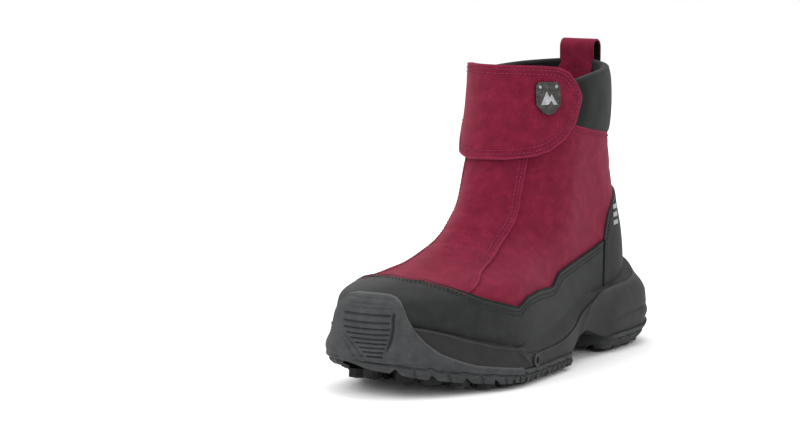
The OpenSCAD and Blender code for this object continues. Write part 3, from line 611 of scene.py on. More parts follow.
def zip_t(z, side):
    """t of the suede's edge beside the zip: side is -1 in front of it and 1 behind it."""
    return -ty(zip_y(z) + side * 4.8, z)


def zip_edge(z0, z1, side, n):
    z = np.linspace(z0, z1, n)
    return tz(zip_t(z, side), z)


# ---------------------------------------------------------------- edges of the panels
MUD_OUT = [[-103, 60.6], [-99, 59.8], [-98, 57], [-94.5, 54], [-87, 50.5], [-67, 45], [-62, 43.6], [-51, 48],
           [-35, 49.3], [-14, 48.6], [-9, 50.5], [-1, 55], [20, 58.5], [60, 65.5]]
MUD_IN = [[-103, 60.6], [-97, 60.6], [-90, 59.2], [-83, 55.8], [-75, 49.9], [-67, 43.4], [-62.5, 44.5],
          [-59, 49], [-46, 51.4], [-28, 53.4], [12, 55.7], [60, 60]]


def by_t(table):
    return [[float(ty(y, z)), z] for y, z in table]


MUD_OUT_T, MUD_IN_T = by_t(MUD_OUT), by_t(MUD_IN)
STRIP_IN = [[56, -97], [60, -84], [65.5, -62], [73, -42.5], [80, -30], [93, -17], [120, -6]]
STRIP_OUT = [[54, -94], [60.3, -74.4], [66.5, -54.1], [74.4, -36], [87.7, -18.1], [99.9, -11.9],
             [111.2, -7.3], [120, -4]]
HEEL_TOP = [[0, 99], [0.3, 97], [0.62, 93], [0.84, 88], [0.95, 81], [1, 66.5]]
FLAP_LOW = [[-.345, 137], [-.33, 132], [-.299, 126], [-.234, 120], [-.1, 117], [.1, 117.5], [.222, 119.5],
            [.275, 122], [.33, 128.5], [.369, 137], [.386, 147], [.39, 150]]
FLAP_TOP = [[-.345, 166], [-.32, 169], [-.2, 170.5], [.1, 170.5], [.2, 170.2], [.281, 169.2], [.326, 166.2],
            [.364, 159.5], [.384, 154], [.39, 152]]


def mud_top(t):
    return np.where(np.asarray(t) > 0, lin(MUD_OUT_T, np.abs(t)), lin(MUD_IN_T, np.abs(t)))


def strip_a(z):
    return -ty(spl(STRIP_IN, z), z)


def strip_b(z):
    return ty(spl(STRIP_OUT, z), z)


def rim(t):
    t = np.asarray(t, float)
    return np.where(t > 0, lin([[.3, 162], [.36, 161.5], [.5, 164.5], [.7, 167], [1, 169]], t),
                    lin([[.3, 166], [.465, 166], [.7, 167.5], [1, 169]], -t))


def collar_low(t):
    t = np.asarray(t, float)
    return np.where(t > 0, lin([[.342, 139.4], [.419, 136], [.527, 132.5], [.655, 129.5], [1, 127]], t),
                    lin([[.48, 140], [.506, 133.5], [.546, 129], [.62, 126], [1, 127]], -t))


def top_outer(t):
    return np.where(t < 0.342, 126 + 12.5 * sm(0.2, 0.342, t),
                    lin([[0.342, 138.5], [0.419, 135], [0.527, 131.5], [0.655, 128.5], [1, 126]], t))


def top_inner(t):
    return lin([[0.366, 166], [0.44, 166], [0.463, 164], [0.475, 138], [0.506, 131.5], [0.546, 127],
                [0.62, 124.3], [1, 126]], np.abs(t))


def flex(p):
    """Walking creases over the instep and behind the ankle."""
    y, z = p[..., 1], p[..., 2]
    front = sm(60, 74, z) * sm(104, 88, z) * sm(20, -20, y)
    back = sm(92, 100, z) * sm(126, 116, z) * sm(30, 70, y)
    return (-0.3 * front * bump(np.mod(z + 0.25 * y + 2 * np.sin(y / 9), 11) - 5.5, 1.6)
            - 0.25 * back * bump(np.mod(z - 0.1 * y + 1.5 * np.sin(y / 7), 13) - 6.5, 1.8))


# ---------------------------------------------------------------- suede upper
SUEDE_D = -1.4


def quarter_outer_map(U, V):
    t = 0.004 + 0.992 * U
    return t, mix(26, top_outer(t), V)


def quarter_front_map(U, V):
    z = 26 + 100 * V
    return mix(zip_t(z, -1), -0.004, U), z


def quarter_rear_map(U, V):
    t = mix(-0.996, zip_t(26 + 100 * V, 1), U)
    return t, mix(26, top_inner(t), V)


def shaft_map(U, V):
    t = mix(zip_t(127 + 38 * V, -1), 0.338, U)
    return t, mix(np.where(t > 0, 127 + 12.5 * sm(0.2, 0.342, t), 127), 165, V)


zip_front, zip_rear = zip_edge(60, 126, -1, 80), zip_edge(60, 164, 1, 120)
zip_shaft = zip_edge(127, 165, -1, 50)
tt = np.linspace(0.345, 0.996, 160)
outer_rim = tz(tt, top_outer(tt))
ti = np.linspace(-0.44, -0.996, 160)
inner_rim = tz(ti, top_inner(ti))

panel("quarter_outer_suede", quarter_outer_map, SUEDE_D, 0.0, 190, 100, "suede", ["quarter_outer"],
      border=border_of(outer_rim), rows=(2.4,), wave=0.12, crease=flex)
panel("quarter_front_suede", quarter_front_map, SUEDE_D, 0.0, 80, 100, "suede", ["quarter_inner_front"],
      border=border_of(zip_front), rows=(2.2, 4.4), wave=0.12, crease=flex)
panel("quarter_rear_suede", quarter_rear_map, SUEDE_D, 0.0, 110, 110, "suede", ["quarter_inner_rear"],
      border=border_of(zip_rear, inner_rim), rows=(2.2, 4.4), wave=0.12, crease=flex)
panel("shaft_front_suede", shaft_map, -2.2, -0.8, 90, 34, "suede_dark", ["shaft_front"],
      border=border_of(zip_shaft), rows=(2.2,), wave=0.08)
stitches("zip_stitching", [seam(zip_front, 2.2, 0.0), seam(zip_front, 4.4, 0.0), seam(zip_rear, -2.2, 0.0),
                           seam(zip_rear, -4.4, 0.0), seam(zip_shaft, 2.2, -0.8)], "thread", "boot")
stitches("collar_seam_stitching", [seam(outer_rim, -2.4, 0.0), seam(inner_rim, 2.4, 0.0)], "thread", "boot")


# ---------------------------------------------------------------- instep strip
def strip_t(z, u):
    return mix(strip_a(z), strip_b(z), u)


def strip_map(U, V):
    z = 58
    for _ in range(2):
        z = mud_top(strip_t(z, U)) - 0.4
    z = mix(z, 122, V ** 1.3)
    return strip_t(z, U), z


def strip_height(U, V):
    return 1.45 + 0.25 * np.sin(np.pi * U)


zl = np.linspace(56, 121, 160)
left, right = tz(strip_a(zl), zl), tz(strip_b(zl), zl)
panel("instep_strip_suede", strip_map, 0.1, strip_height, 70, 120, "suede", ["instep_strip"],
      border=border_of(left, right), rows=(2.6, 4.8), wave=0.12, crease=flex)
stitches("strip_stitching", [seam(left, -2.6, 1.42), seam(left, -4.8, 1.45), seam(right, 2.6, 1.42),
                             seam(right, 4.8, 1.45)], "thread", "boot")


# ---------------------------------------------------------------- mudguard and heel panel
def mud_end(z):
    return ty(60.6 + 0.06 * (z - 40), z)


def mud_map(U, V):
    w = 2 * U - 1
    z0 = mud_top(w * mud_end(50))
    z1 = mud_top(w * mud_end(z0))
    z = mix(23, z1, V)
    return w * mud_end(z), z


mud_edge = tz(*mud_map(np.linspace(0, 1, 420), np.ones(420)))
panel("mudguard_leather", mud_map, 0.2, 1.5, 300, 30, "leather", ["mudguard"],
      border=border_of(mud_edge), rows=(2.4, 4.4), wave=0.1)
stitches("mudguard_stitching", [seam(mud_edge, -2.4, 1.45), seam(mud_edge, -4.4, 1.45)], "thread_dark", "boot",
         radius=0.27)
cord_on("mudguard_edge_bead", dense(mud_edge, 1.2), 1.15, 0.7)


def heel_map(U, V):
    e = 2 * U - 1
    z = mix(25, lin(HEEL_TOP, np.abs(e)), V)
    return wrap(1 + e * (1 - ty(62 + 0.06 * (z - 40), z))), z


ht, hz = heel_map(np.linspace(0, 1, 260), np.ones(260))
heel_top = tz(np.where(ht < 0, ht + 2, ht), hz)
hv = np.linspace(0.25, 1, 80)
heel_sides = {"outer": tz(*heel_map(0 * hv, hv)), "inner": tz(*heel_map(0 * hv + 1, hv))}
panel("heel_panel_leather", heel_map, 0.2, 1.5, 130, 60, "leather", ["heel_panel"],
      border=border_of(heel_top, *heel_sides.values()), rows=(2.4,), wave=0.08)
stitches("heel_panel_stitching", [seam(heel_top, -2.4, 1.45)], "thread_dark", "boot",
         radius=0.27)
for side, line in heel_sides.items():
    cord_on("heel_seam_" + side, dense(line, 1.5), 1.2, 0.95)


def bar_map(k):
    def at(U, V):
        z = 74 + 4.6 * k + 2.6 * V
        return ty(74 + 7 * U, z), z
    return at


for k in range(3):
    panel("reflective_bar_%d" % k, bar_map(k), 1.45, 1.95, 10, 4, "reflective",
          ["reflector_bars"] if k == 0 else (), bevel=0.12)


# ---------------------------------------------------------------- sole
def ring_t(n):
    t = np.arange(n) * 2 / n
    return np.where(t > 1, t - 2, t)


def capped(name, rings, mats, body, replaces, edge=None, bevel=0.0):
    """Closed block from a stack of rings. Its ends are closed by strips across from side to side."""
    nr, n = rings.shape[:2]
    faces = [grid_faces(nr, n, 0, True)]
    h = n // 2
    i = np.arange(1, h - 1)
    for start, way in ((0, 1), ((nr - 1) * n, -1)):
        strips = np.stack([start + i, start + n - i, start + n - i - 1, start + i + 1], -1)
        tips = np.array([[start, start + n - 1, start + 1], [start + h - 1, start + h + 1, start + h]])
        faces += [strips[:, ::way], tips[:, ::way]]
    flat = [f for group in faces for f in group.tolist()]
    uv = mm_map(np.concatenate([rings, rings[:, :1]], 1))[:, :-1]
    return finish_piece(mesh_object(name, rings, flat, uv, edge), mats, body, replaces, bevel)


# the midsole's visible edge and the line where foam meets leather, by y
EDGE = [[-139, 27], [-130, 30], [-126.5, 39.6], [-117.7, 37], [-108.5, 33.8], [-99, 30.2], [-83, 25.4],
        [-70, 22.6], [-58, 22], [-30, 23], [3, 24], [30, 30.5], [46, 36.5], [57, 38.8], [72, 40], [84, 40.5],
        [94, 43], [102, 47.5], [110, 52], [118, 55], [145, 56]]
PARTING = [[-139, 60], [-67, 60], [-66, 22.6], [-63, 21.2], [-60, 19.2], [-56, 17.8], [-48, 17.6], [-42, 16.6],
           [-32, 17], [-18, 17.3], [-6, 18.6], [12, 22.4], [19, 24.2], [28, 28.8], [38, 32.4], [46.5, 34.8],
           [51, 37], [56, 39], [57, 60], [145, 60]]
# the crease from arch to heel, by z
CREASE = [[9, 20], [17.2, 28], [22.5, 32.5], [29.5, 40], [35, 47], [42, 54]]
# the ridge that drops in front of the ring, by y
DROP = [[-67, 21], [-62, 18.4], [-58, 15.2], [-54, 12.2], [-50, 10]]


def edge_z(t):
    z = lin(EDGE, sole_y(t))
    for _ in range(6):
        z = (z + lin(EDGE, wall_pt(t, z)[:, 1])) / 2
    return z


def mid_relief(t, y, z, f):
    """How far the foam stands out, f from 0 at its foot to 1 at its upper edge."""
    wing = sm(-56, -64, y)
    rear = sm(46, 58, y)
    lip = 0.9 * bump(1 - f, 0.11) * (wing + 0.45 * rear)
    hollow = -1.1 * np.sin(np.pi * np.clip(f, 0, 1)) ** 0.8 * wing
    drop = 0.85 * bump(z - lin(DROP, y), 1.1) * sm(-67, -63, y) * sm(-50, -54, y)
    g = y - lin(CREASE, z)
    side = sm(-10, 15, y) * (t > 0) + 0.7 * sm(-10, 15, y) * (t < 0)
    crease = side * sm(38, 29, z) * (0.8 * bump(g + 2.2, 3.2) - 1.5 * sm(-1.2, 2.4, g) * sm(46, 10, g))
    foot = 0.7 * bump(z - (17.5 + 0.02 * (y - 60)), 2.4) * sm(60, 76, y)
    groove = -0.75 * bump(z - (20.8 + 0.03 * (y - 60)), 0.55) * sm(60, 76, y)
    under = -1.6 * sm(-124.5, -128.5, y)
    return lip + hollow + drop + crease + foot + groove + under


N_MID = 460
mt_ring = ring_t(N_MID)
za, zb = lin(MID_LOW, sole_y(mt_ring)), edge_z(mt_ring)
zc = zb.copy()
for _ in range(6):
    zc = np.minimum(zb - 0.2, (zc + lin(PARTING, wall_pt(mt_ring, zc)[:, 1])) / 2)
    zc = np.maximum(zc, za + 2)
rings, lip_highlight = [], []
for f in spaced(30, 0.3):
    z = mix(za, zc, f)
    y = wall_pt(mt_ring, z)[:, 1]
    rings.append(wall_pt(mt_ring, z, mid_relief(mt_ring, y, z, f)))
    # painted highlight: lighter colour along the foam's upper lip at the wing and the heel cup
    lip_highlight.append(0.9 * bump(1 - f, 0.06) * np.maximum(sm(-56, -62, y), sm(50, 60, y)))
n_foam = len(rings) - 1
# above the parting the leather runs from the wall back to the mudguard
yc = wall_pt(mt_ring, zc)[:, 1]
flush = sm(-66, -57, yc) * sm(56, 47, yc)
last_relief = mid_relief(mt_ring, yc, zc, 1.0)
under_mudguard = zb + 5 * flush
BAND = (0.0, 0.04, 0.12, 0.24, 0.4, 0.55, 0.7, 0.85, 1.0)
for f in BAND:
    z = mix(zc, under_mudguard, f)
    w = (flush * sm(0.05, 1.0, f) + (1 - flush) * sm(0.0, 0.6, f))[:, None]
    fold = wall_pt(mt_ring, z, flush * -0.75 + (1 - flush) * last_relief)
    upper = off(mt_ring, z, np.full(N_MID, 1.2))
    upper[:, 2] = z
    rings.append(fold * (1 - w) + upper * w)
for k in range(5):
    z = mix(under_mudguard, 25, k / 4)
    p = off(mt_ring, z, np.full(N_MID, 1.1))
    p[:, 2] = 22 if k == 4 else z
    rings.append(p)
lip_highlight += [np.zeros(N_MID)] * (len(rings) - len(lip_highlight))
midsole = capped("midsole_carrier", np.array(rings), ["foam", "leather"], "boot", ["midsole"],
                 np.concatenate(lip_highlight))
kind = np.zeros(len(midsole.data.polygons), np.int32)
is_leather = (flush > 0.02) & (np.roll(flush, -1) > 0.02)
kind[n_foam * N_MID:(n_foam + len(BAND)) * N_MID] = np.tile(is_leather, len(BAND))
midsole.data.polygons.foreach_set("material_index", kind)


def phase(y):
    """Place along one side block, from 0 to 1, the blocks drifting a little in length."""
    return np.mod((y + 108 + 2.2 * np.sin(y / 11.0)) / 13.5 + 0.5, 1.0)


def rubber_relief(y, f):
    """V-shaped facets on the rubber's side over a dark step, with slots between the blocks below it."""
    vee = np.abs(np.mod(phase(y) + 0.5, 1.0) - 0.5) * 2
    shelf = 0.5 * sm(0.60, 0.68, f)
    facet = 1.1 * np.clip(1 - np.abs(f - 0.22 - 0.3 * vee) / 0.2, 0, 1)
    step = -0.8 * bump(f - 0.6, 0.05)
    slot = -1.3 * sm(0.86, 0.97, vee) * sm(0.62, 0.45, f)
    nub = 0.9 * bump(vee - 0.15, 0.12) * bump(f - 0.06, 0.1)
    return shelf + facet + step + slot + nub - 0.3 * bump(f - 0.97, 0.03)


# outer rubber: pads with their side walls
def pad_rings(y0, y1, e, n):
    """Rings of one pad between y0 and y1, e wider than the sole, from its underside up its side wall."""
    t = ring_t(n)
    s = np.where(t < 0, -1, 1)
    heel = y0 > 0
    af, pf, ab, pb = (8, 3, 38, 2.2) if heel else (54, 2.3, 8, 3)

    def at(z, ee):
        ya, yb = (y0, lin(SOLE_BACK, z) + ee) if heel else (lin(SOLE_FRONT, z) - ee, y1)
        y = along_y(ya, yb, t)
        w = sole_half(y, z, s) + ee
        x = spl(AXIS, y) + s * w * round_end((y - ya) / af, pf) * round_end((yb - y) / ab, pb)
        return np.stack([x, y, z], -1)

    yref = along_y(y0, y1, t)
    ph = phase(yref)
    block = sm(0.0, 0.16, ph) * sm(1.0, 0.84, ph)
    lift = 0 if heel else 4.5 * sm(-0.36, -0.24, t) * sm(0.03, -0.08, t)
    low = lin(GROUND, yref) + LUG_H
    drop = low - LUG_H * 0.7 * block + lift
    top = lin(RUBBER_TOP, yref) + 0.2
    wall = [at(mix(drop, top, f), e + rubber_relief(yref, f)) for f in spaced(26, 0.05)]
    return np.array([at(low + 0.8 * lift, e - 4.0), at(drop, e - 3.5), *wall, at(top, e - 3.5)])


capped("outsole_forefoot_rubber", pad_rings(-134, 10, 0.9, 560), "rubber", "boot",
       ["outsole_forefoot"], bevel=0.2)
capped("outsole_heel_rubber", pad_rings(60, 142, 0.7, 420), "rubber", "boot", ["outsole_heel"],
       bevel=0.2)

# toe bumper and the rubber that climbs round the toe, down to the pads
TOE_TOP = [[0, 54.4], [.045, 54], [.068, 53], [.083, 51.6], [.094, 49.6], [.103, 47], [.114, 42.5],
           [.124, 38.8], [.135, 35], [.152, 30.5], [.185, 24.3], [.22, 19.3], [.252, 15.8], [.327, 11.5],
           [.345, 11.0]]
TOE_TOP_IN = [[0, 54.4], [.075, 54], [.1, 53], [.115, 51], [.126, 48.5], [.135, 45], [.145, 40.5], [.156, 36],
              [.172, 31], [.2, 25.5], [.235, 20], [.265, 16.5], [.335, 11.5], [.345, 11.0]]
# the ribbed panel's sides, by z
RIBS_FROM = [[21, .012], [23, .004], [27.3, -.012], [30.9, -.032], [34.6, -.056], [38.1, -.070], [46, -.078]]
RIBS_TO = [[21, .050], [22.2, .051], [29.7, .056], [34, .061], [38.4, .065], [46, .067]]


def bumper_map(U, V):
    t = -0.34 + 0.68 * U
    top = np.where(t > 0, lin(TOE_TOP, np.abs(t)), lin(TOE_TOP_IN, np.abs(t)))
    low = lin(RUBBER_TOP, sole_y(t)) - 3.0
    top = np.maximum(top, low + 1.2)
    return t, mix(low, top, V), top
def bumper_relief(t, z, top):
    ta, tb = lin(RIBS_FROM, z), lin(RIBS_TO, z)
    high = sm(20.5, 22, z) * sm(46.6, 45.6, z)
    pitch = 2.1 + 1.2 * np.clip((z - 22) / 24, 0, 1)
    saw = np.abs(np.mod(20 * np.log(pitch), 1.0) - 0.5) * pitch
    ribs = -1.3 * np.clip(1 - saw / 0.62, 0, 1) ** 0.7 * sm(ta, ta + 0.004, t) * sm(tb, tb - 0.004, t) * high
    slot = -1.7 * bump(t - tb - 0.0075, 0.0035) * sm(22, 30, z) * sm(47, 44.5, z)
    wall = 0.55 * bump(t - tb - 0.019, 0.006) * sm(22, 28, z) * sm(50, 44, z)
    lower = sm(36.5, 33, z)
    seam = -0.9 * bump(t - ta + 0.008, 0.003) * lower + 0.6 * bump(t - ta + 0.016, 0.005) * lower
    second = -0.7 * bump(t - ta + 0.026, 0.004) * sm(33, 30, z)
    fine = sum(-0.42 * bump(z - h, 0.3) for h in (47.9, 49.6, 51.6)) * sm(0.075, 0.062, t) * sm(-0.085, -0.07, t)
    ledge = (0.8 * bump(z - 20.2, 0.8) - 0.9 * bump(z - 18.2, 0.7)) * sm(0.2, 0.12, np.abs(t))
    lip = 0.3 * bump(top - z - 1.0, 0.8)
    step = 0.45 * sm(0.055, 0.09, np.abs(t + 0.01)) * sm(34, 26, z)
    return ribs + slot + wall + (seam + second) * sm(20, 22, z) + fine + ledge + lip + step


U, V = np.meshgrid(spaced(420, -0.35), spaced(190, 0.02))
bt, bz, btop = bumper_map(U, V)
e_out = 1.3 - 1.4 * sm(36, 54, bz) + bumper_relief(bt, bz, btop)
fade = np.clip((btop - bz) / 1.2, 0, 1)
e_out = e_out - 0.9 * (1 - fade) ** 2 - 0.7 * sm(5, 1, btop - bz)
# edge lightens the bumper's top lip: partly a painted highlight, partly edge wear
bumper = shell("toe_bumper_rubber", lap_pt(bt, bz, e_out), lap_pt(bt, bz, np.full_like(bt, -1.0)),
               edge=bump(btop - bz, 0.8))
finish_piece(bumper, "rubber", "boot", ["toe_bumper", "toe_ribs"], bevel=0.3)

# ---------------------------------------------------------------- CAD nodes that stay as they are
for name, mat, bevel in (("forefoot_lugs", "tread", 0.5), ("heel_lugs", "tread", 0.5),
                         ("stud_bases", "gunmetal", 0.2),
                         ("stud_tips", "steel", 0.15), ("shank_plate", "plastic", 0.5),
                         ("sidewall_ring", "rubber", 0.25), ("lasting_board", "board", 0.2),
                         ("toe_puff", "stiffener", 0), ("heel_counter", "stiffener", 0), ("zip_gusset", "tape", 0),
                         ("zip_top_stops", "metal", 0.25), ("zip_bottom_stop", "metal", 0.3),
                         ("zip_puller", "metal", 0.25), ("hook_tape", "hookloop", 0), ("loop_tape", "hookloop", 0),
                         ("badge_emblem", "metal", 0.15), ("badge_rivets", "metal", 0.25)):
    keep_cad(name, mat, bevel)
keep_cad("zip_slider", "metal", 0.45, 3)
keep_cad("badge_plate", "gunmetal", 0.45, 3)


# ---------------------------------------------------------------- inside
def lining_map(U, V):
    t = wrap(2 * U)
    return t, mix(28, rim(t) - 2.2, V)


panel("lining_fabric", lining_map, -4.5, -2.8, 160, 80, "lining", ["lining"], closed=True,
      bevel=0, ends=0.0)
fn = 96
ft = ring_t(fn)
foot_rings = []
for k, (g, dz) in enumerate([(6.5, 27.3), (5.6, 28.0), (5.2, 29.5), (5.4, 30.6), (7.0, 31.3), (11, 31.2),
                             (17, 30.7), (24, 30.4)]):
    p = off(ft, np.full(fn, 27.0), np.full(fn, -float(g)))
    cup = 3.2 * sm(10, 5, g) * sm(20, 70, p[:, 1])
    arch = 2.6 * sm(14, 5, g) * bump(p[:, 1] - 5, 30) * (ft < 0)
    p[:, 2] = dz + (cup + arch) * (k > 1)
    foot_rings.append(p)
footbed = capped("footbed_foam", np.array(foot_rings), "footbed", "boot", ["footbed"])


# ---------------------------------------------------------------- padded collar and its binding
def collar_map(U, V):
    w = wrap(0.345 + 1.175 * U)
    return w, mix(collar_low(w) - 1.2, rim(w) - 1.6, V)


def collar_puff(U, V):
    q = 0.345 + 1.175 * U
    round_v = np.power(np.clip(4 * V * (1 - V), 0, 1), 0.42)
    unevenness = 0.12 * np.sin(q * 40) * np.sin(V * 9)
    return -0.4 + (2.6 + unevenness) * sm(0.37, 0.45, q) * sm(1.52, 1.46, q) * round_v


collar = panel("collar_padding", collar_map, -2.2, collar_puff, 200, 60, "neoprene", ["collar"],
               bevel=0.3, ends=0.4)
bw = wrap(np.linspace(0.35, 1.518, 240))
bz1 = rim(bw) - 1.9
roll = np.stack([off(bw, bz1 + 1.75 * np.sin(a), -2.0 + 2.5 * np.cos(a))
                 for a in np.linspace(0, 2 * np.pi, 14, endpoint=False)], 1)
binding = mesh_object("collar_binding_roll", roll, rod_faces(len(bw), 14, 0, True), mm_map(roll))
finish_piece(binding, "neoprene", "boot", ["collar_binding"])


# ---------------------------------------------------------------- zip
zip_u = unit(ZIP_A - ZIP_B)
x_out = unit(np.cross(np.array([0.0, -1.0, 0.0]), zip_u))
if x_out[0] > 0:
    x_out = -x_out
y_side = np.cross(zip_u, x_out)


def zl_pt(x, y, z):
    """Point on the zip's own axes: x out of the boot, y across, z up from the top end."""
    x, y, z = np.broadcast_arrays(np.asarray(x, float), np.asarray(y, float), np.asarray(z, float))
    return ZIP_A + x[..., None] * x_out + y[..., None] * y_side + z[..., None] * zip_u


ZIP_LEN = float(np.linalg.norm(ZIP_A - ZIP_B))
for s, label in ((-1, "front"), (1, "rear")):
    yy, zz = np.meshgrid(np.linspace(0.35, 4.4, 10) * s, np.linspace(-ZIP_LEN, -1.0, 60))
    bulge = 0.25 * bump(np.abs(yy) - 0.6, 0.5)
    a, b = zl_pt(-1.1 + bulge, yy, zz), zl_pt(-1.45, yy, zz)
    o = shell("zip_tape_" + label, a if s > 0 else b, b if s > 0 else a)
    finish_piece(o, "tape", "boot", ["zip_tape"] if s > 0 else ())
pts, faces = [], []
TOOTH_PITCH, TOOTH_RINGS, TOOTH_SIDES = 2.2, 9, 6
a = np.linspace(0, np.pi, TOOTH_RINGS)
for k in range(int((ZIP_LEN - 10) / TOOTH_PITCH)):
    for s in (-1, 1):
        z0 = -3.4 - TOOTH_PITCH * (k + (0.5 if s > 0 else 0))
        c = zl_pt(-0.15 + 0.62 * np.cos(a), s * (2.35 - 2.75 * np.sin(a) ** 0.8), z0 + 0.1 * np.cos(a))
        ahead = unit(np.gradient(c, axis=0))
        side = np.broadcast_to(zip_u, ahead.shape)
        faces += rod_faces(TOOTH_RINGS, TOOTH_SIDES, len(pts) * TOOTH_RINGS * TOOTH_SIDES)
        pts.append(hoops(c, 0.36, side, unit(np.cross(ahead, side)), TOOTH_SIDES).reshape(-1, 3))
finish_piece(mesh_object("zip_coil_teeth", np.concatenate(pts), faces), "coil", "boot", ["zip_teeth"])

# leather pull tab: a strip folded over the puller's lower bar, with a stitched edge
BAR_X, BAR_Z, TAB_LEN, TAB_HALF = 3.7, -20.0, 35.0, 3.7
q = np.linspace(0, 1, 44)
half_w = np.where(q < 0.12, 2.0 + 1.7 * sm(0.05, 0.12, q), TAB_HALF)
end = np.clip((q * TAB_LEN - (TAB_LEN - TAB_HALF)) / TAB_HALF, 0, 1)
half_w = np.maximum(half_w * np.sqrt(np.clip(1 - end ** 2, 0, 1)), 0.25)
cross = np.linspace(-1, 1, 17)
puff = 1.25 - 0.3 * np.abs(cross) ** 3 - 0.22 * bump(np.abs(cross) - 0.72, 0.12)
tab_y, tab_z = -half_w[:, None] * cross, BAR_Z - 1.2 - q[:, None] * TAB_LEN
tab = shell("pull_strap_leather", zl_pt(BAR_X + puff, tab_y, tab_z), zl_pt(BAR_X - puff, tab_y, tab_z))


def fold(r):
    """The strap's turn round the bar, at radius r."""
    a = np.linspace(0, 2 * np.pi, 24, endpoint=False)
    across = np.linspace(-1.9, 1.9, 7) * 0.68
    return np.stack([zl_pt(BAR_X + r * np.cos(a), y, BAR_Z + r * np.sin(a)) for y in across])


eye = shell("pull_strap_fold", fold(2.0), fold(1.1), closed=True, flip=True)
finish_piece(eye, "suede_dark", "pull_strap", bevel=0.2)
finish_piece(tab, "suede_dark", "pull_strap", ["pull_strap"], bevel=0.3)
tz_rows = np.linspace(-7.5, TAB_HALF - TAB_LEN, 60)
bend = np.linspace(0, np.pi, 30)
tab_lines = [zl_pt(BAR_X + 1.13, s * 2.6, BAR_Z + tz_rows) for s in (-1, 1)]
tab_lines.append(zl_pt(BAR_X + 1.13, 2.6 * np.cos(bend), BAR_Z - TAB_LEN + 3.4 - 2.6 * np.sin(bend)))
stitches("pull_strap_stitching", [(p, np.broadcast_to(x_out, p.shape)) for p in tab_lines], "thread",
         "pull_strap", radius=0.24, length=1.9, gap=0.8)


# ---------------------------------------------------------------- flap
F0 = 2.0
FLAP_T = 1.6
ROOT_T = -0.3605


def flap_map(U, V):
    t = mix(ROOT_T, 0.39, np.sin(np.pi / 2 * U))
    a, b = lin(FLAP_LOW, t), lin(FLAP_TOP, t)
    c = (a + b) / 2
    return t, mix(np.minimum(a, c - 0.3), np.maximum(b, c + 0.3), V)


def flap_height(U, V):
    return F0 + 0.7 + FLAP_T + 0.35 * np.sin(np.pi * U) * np.sin(np.pi * V) - 0.2 * sm(0.05, 0.0, U)


fu = np.linspace(0.02, 1, 260)
flap_edge = dense(np.concatenate([tz(*flap_map(fu, 0 * fu)), tz(*flap_map(fu, 0 * fu + 1))[::-1]]))
for _ in range(30):
    flap_edge[1:-1] = (flap_edge[:-2] + 2 * flap_edge[1:-1] + flap_edge[2:]) / 4
flap_tree = border_at(flap_edge)
flap = panel("flap_suede", flap_map, F0 + 0.7, flap_height, 190, 90, "suede", (), body=None,
             border=flap_tree, rows=(2.4, 4.8), wave=0.18, ends=0.35)
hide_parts("flap_shell", "flap_root")
stitches("flap_stitching", [seam(flap_edge, 2.4, F0 + FLAP_T + 0.75, flap_tree),
                            seam(flap_edge, 4.8, F0 + FLAP_T + 0.85, flap_tree)], "thread", "flap")


def flap_lining_map(U, V):
    t = -0.335 + 0.70 * U
    return t, mix(lin(FLAP_LOW, t) + 2, lin(FLAP_TOP, t) - 2, V)


panel("flap_lining_fabric", flap_lining_map, F0, F0 + 0.68, 90, 30, "lining", ["flap_lining"],
      body="flap", bevel=0.15)

# ---------------------------------------------------------------- pull loop
LOOP_Y, LOOP_W, LOOP_COLS = 96.7, 22.0, 19


def loop_face(r):
    """One face of the webbing, r from the centre of its bend: up from its sewn end inside, down outside."""
    xs = np.linspace(-LOOP_W / 2, LOOP_W / 2, LOOP_COLS)
    ones = np.ones(LOOP_COLS)

    def level(y, z):
        return np.stack([xs, y * ones, z * ones], 1)

    def sewn(side, spread, height, z):
        skin = off(wrap(1 - spread * xs / (LOOP_W / 2)), z * ones, height * ones)
        skin[:, 0] = xs
        return mix(skin, level(LOOP_Y + side * r, z), sm(162, 168, z))

    ends, straight = np.linspace(151, 167.5, 12), (169.0, 170.6, 172.2, 173.8)
    inside = [sewn(-1, 0.106, -(r + 0.9), z) for z in ends] + [level(LOOP_Y - r, z) for z in straight]
    arch = [level(LOOP_Y + r * np.cos(a), 175.0 + r * np.sin(a)) for a in np.linspace(np.pi, 0, 17)]
    outside = [sewn(1, 0.09, r - 1.35, z) for z in ends] + [level(LOOP_Y + r, z) for z in straight]
    return np.array(inside + arch + outside[::-1])


loop = shell("pull_loop_webbing", loop_face(3.95), loop_face(5.15), face_mat=[1, 0, 0], flip=True)
finish_piece(loop, ["suede", "webbing"], None, bevel=0.25)
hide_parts("pull_loop", "loop_anchor")


# ---------------------------------------------------------------- world positions, and the flap and loop baked in place
def world(p):
    return tuple((np.asarray(p, float) + SHIFT) / 1000)


root_p, root_q = off(-0.3595, 152.0, 3.4), off(-0.335, 152.0, 3.4)
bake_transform(flap)
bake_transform(loop)

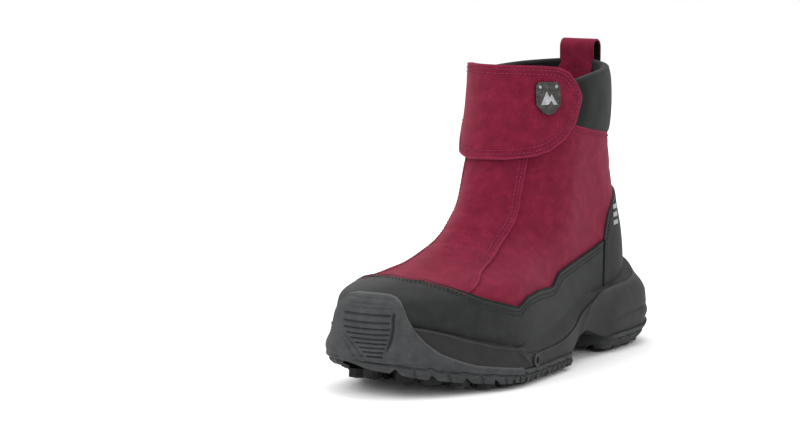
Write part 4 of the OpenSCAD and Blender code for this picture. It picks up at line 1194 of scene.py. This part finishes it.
# ---------------------------------------------------------------- floor, light and camera
floor_mat = Nodes("floor")
floor_noise = floor_mat.add("ShaderNodeTexNoise", None, Scale=3.0, Detail=2.0).outputs[0]
floor_colour = floor_mat.ramp(floor_noise, [(0.3, (0.98, 0.98, 0.98, 1)), (0.7, (0.99, 0.99, 0.99, 1))])
floor_mat.put(floor_mat.bsdf.inputs["Base Color"], floor_colour)
floor_mat.bsdf.inputs["Roughness"].default_value = 1.0
floor_mat.bsdf.inputs["Specular IOR Level"].default_value = 0.2
me = bpy.data.meshes.new("floor")
R = 12.0
me.from_pydata([(-R, -R, 0), (R, -R, 0), (R, R, 0), (-R, R, 0)], [], [(0, 1, 2, 3)])
floor = bpy.data.objects.new("floor", me)
me.materials.append(floor_mat.mat)
bpy.context.scene.collection.objects.link(floor)

AZ, EL, DIST, FOCAL = math.radians(31.03), math.radians(6.86), 1.870, 3287.0
back = Vector((math.sin(AZ) * math.cos(EL), -math.cos(AZ) * math.cos(EL), math.sin(EL)))
aim = Vector(world([-52.4, -22.0, 86.1]))
cam_data = bpy.data.cameras.new("camera")
cam_data.sensor_width, cam_data.lens = 36.0, FOCAL * 36.0 / 800
cam_data.clip_end = 50
cam = bpy.data.objects.new("camera", cam_data)
cam.location = aim + back * DIST
cam.rotation_euler = (-back).to_track_quat("-Z", "Y").to_euler()
bpy.context.scene.collection.objects.link(cam)
bpy.context.scene.camera = cam


def area(name, location, size, power):
    """Rectangular light that faces the boot."""
    d = bpy.data.lights.new(name, "AREA")
    d.shape, d.size, d.size_y, d.energy = "RECTANGLE", size[0], size[1], power
    o = bpy.data.objects.new(name, d)
    o.location = location
    o.rotation_euler = (Vector((0, 0, 0.07)) - Vector(location)).to_track_quat("-Z", "Y").to_euler()
    bpy.context.scene.collection.objects.link(o)


area("key", (-0.55, -1.15, 1.25), (1.1, 0.9), 11)
area("fill", (1.6, -0.9, 0.9), (1.2, 1.0), 4)
area("top", (0.1, 0.3, 1.7), (1.5, 1.5), 11)
area("rim", (-0.9, 1.1, 0.8), (0.9, 0.9), 3)
world_ = bpy.data.worlds.new("world")
bpy.context.scene.world = world_
world_.use_nodes = True
world_.node_tree.nodes["Background"].inputs[0].default_value = (1, 1, 1, 1)
world_.node_tree.nodes["Background"].inputs[1].default_value = 1.0
bpy.context.scene.view_settings.view_transform = "Standard"
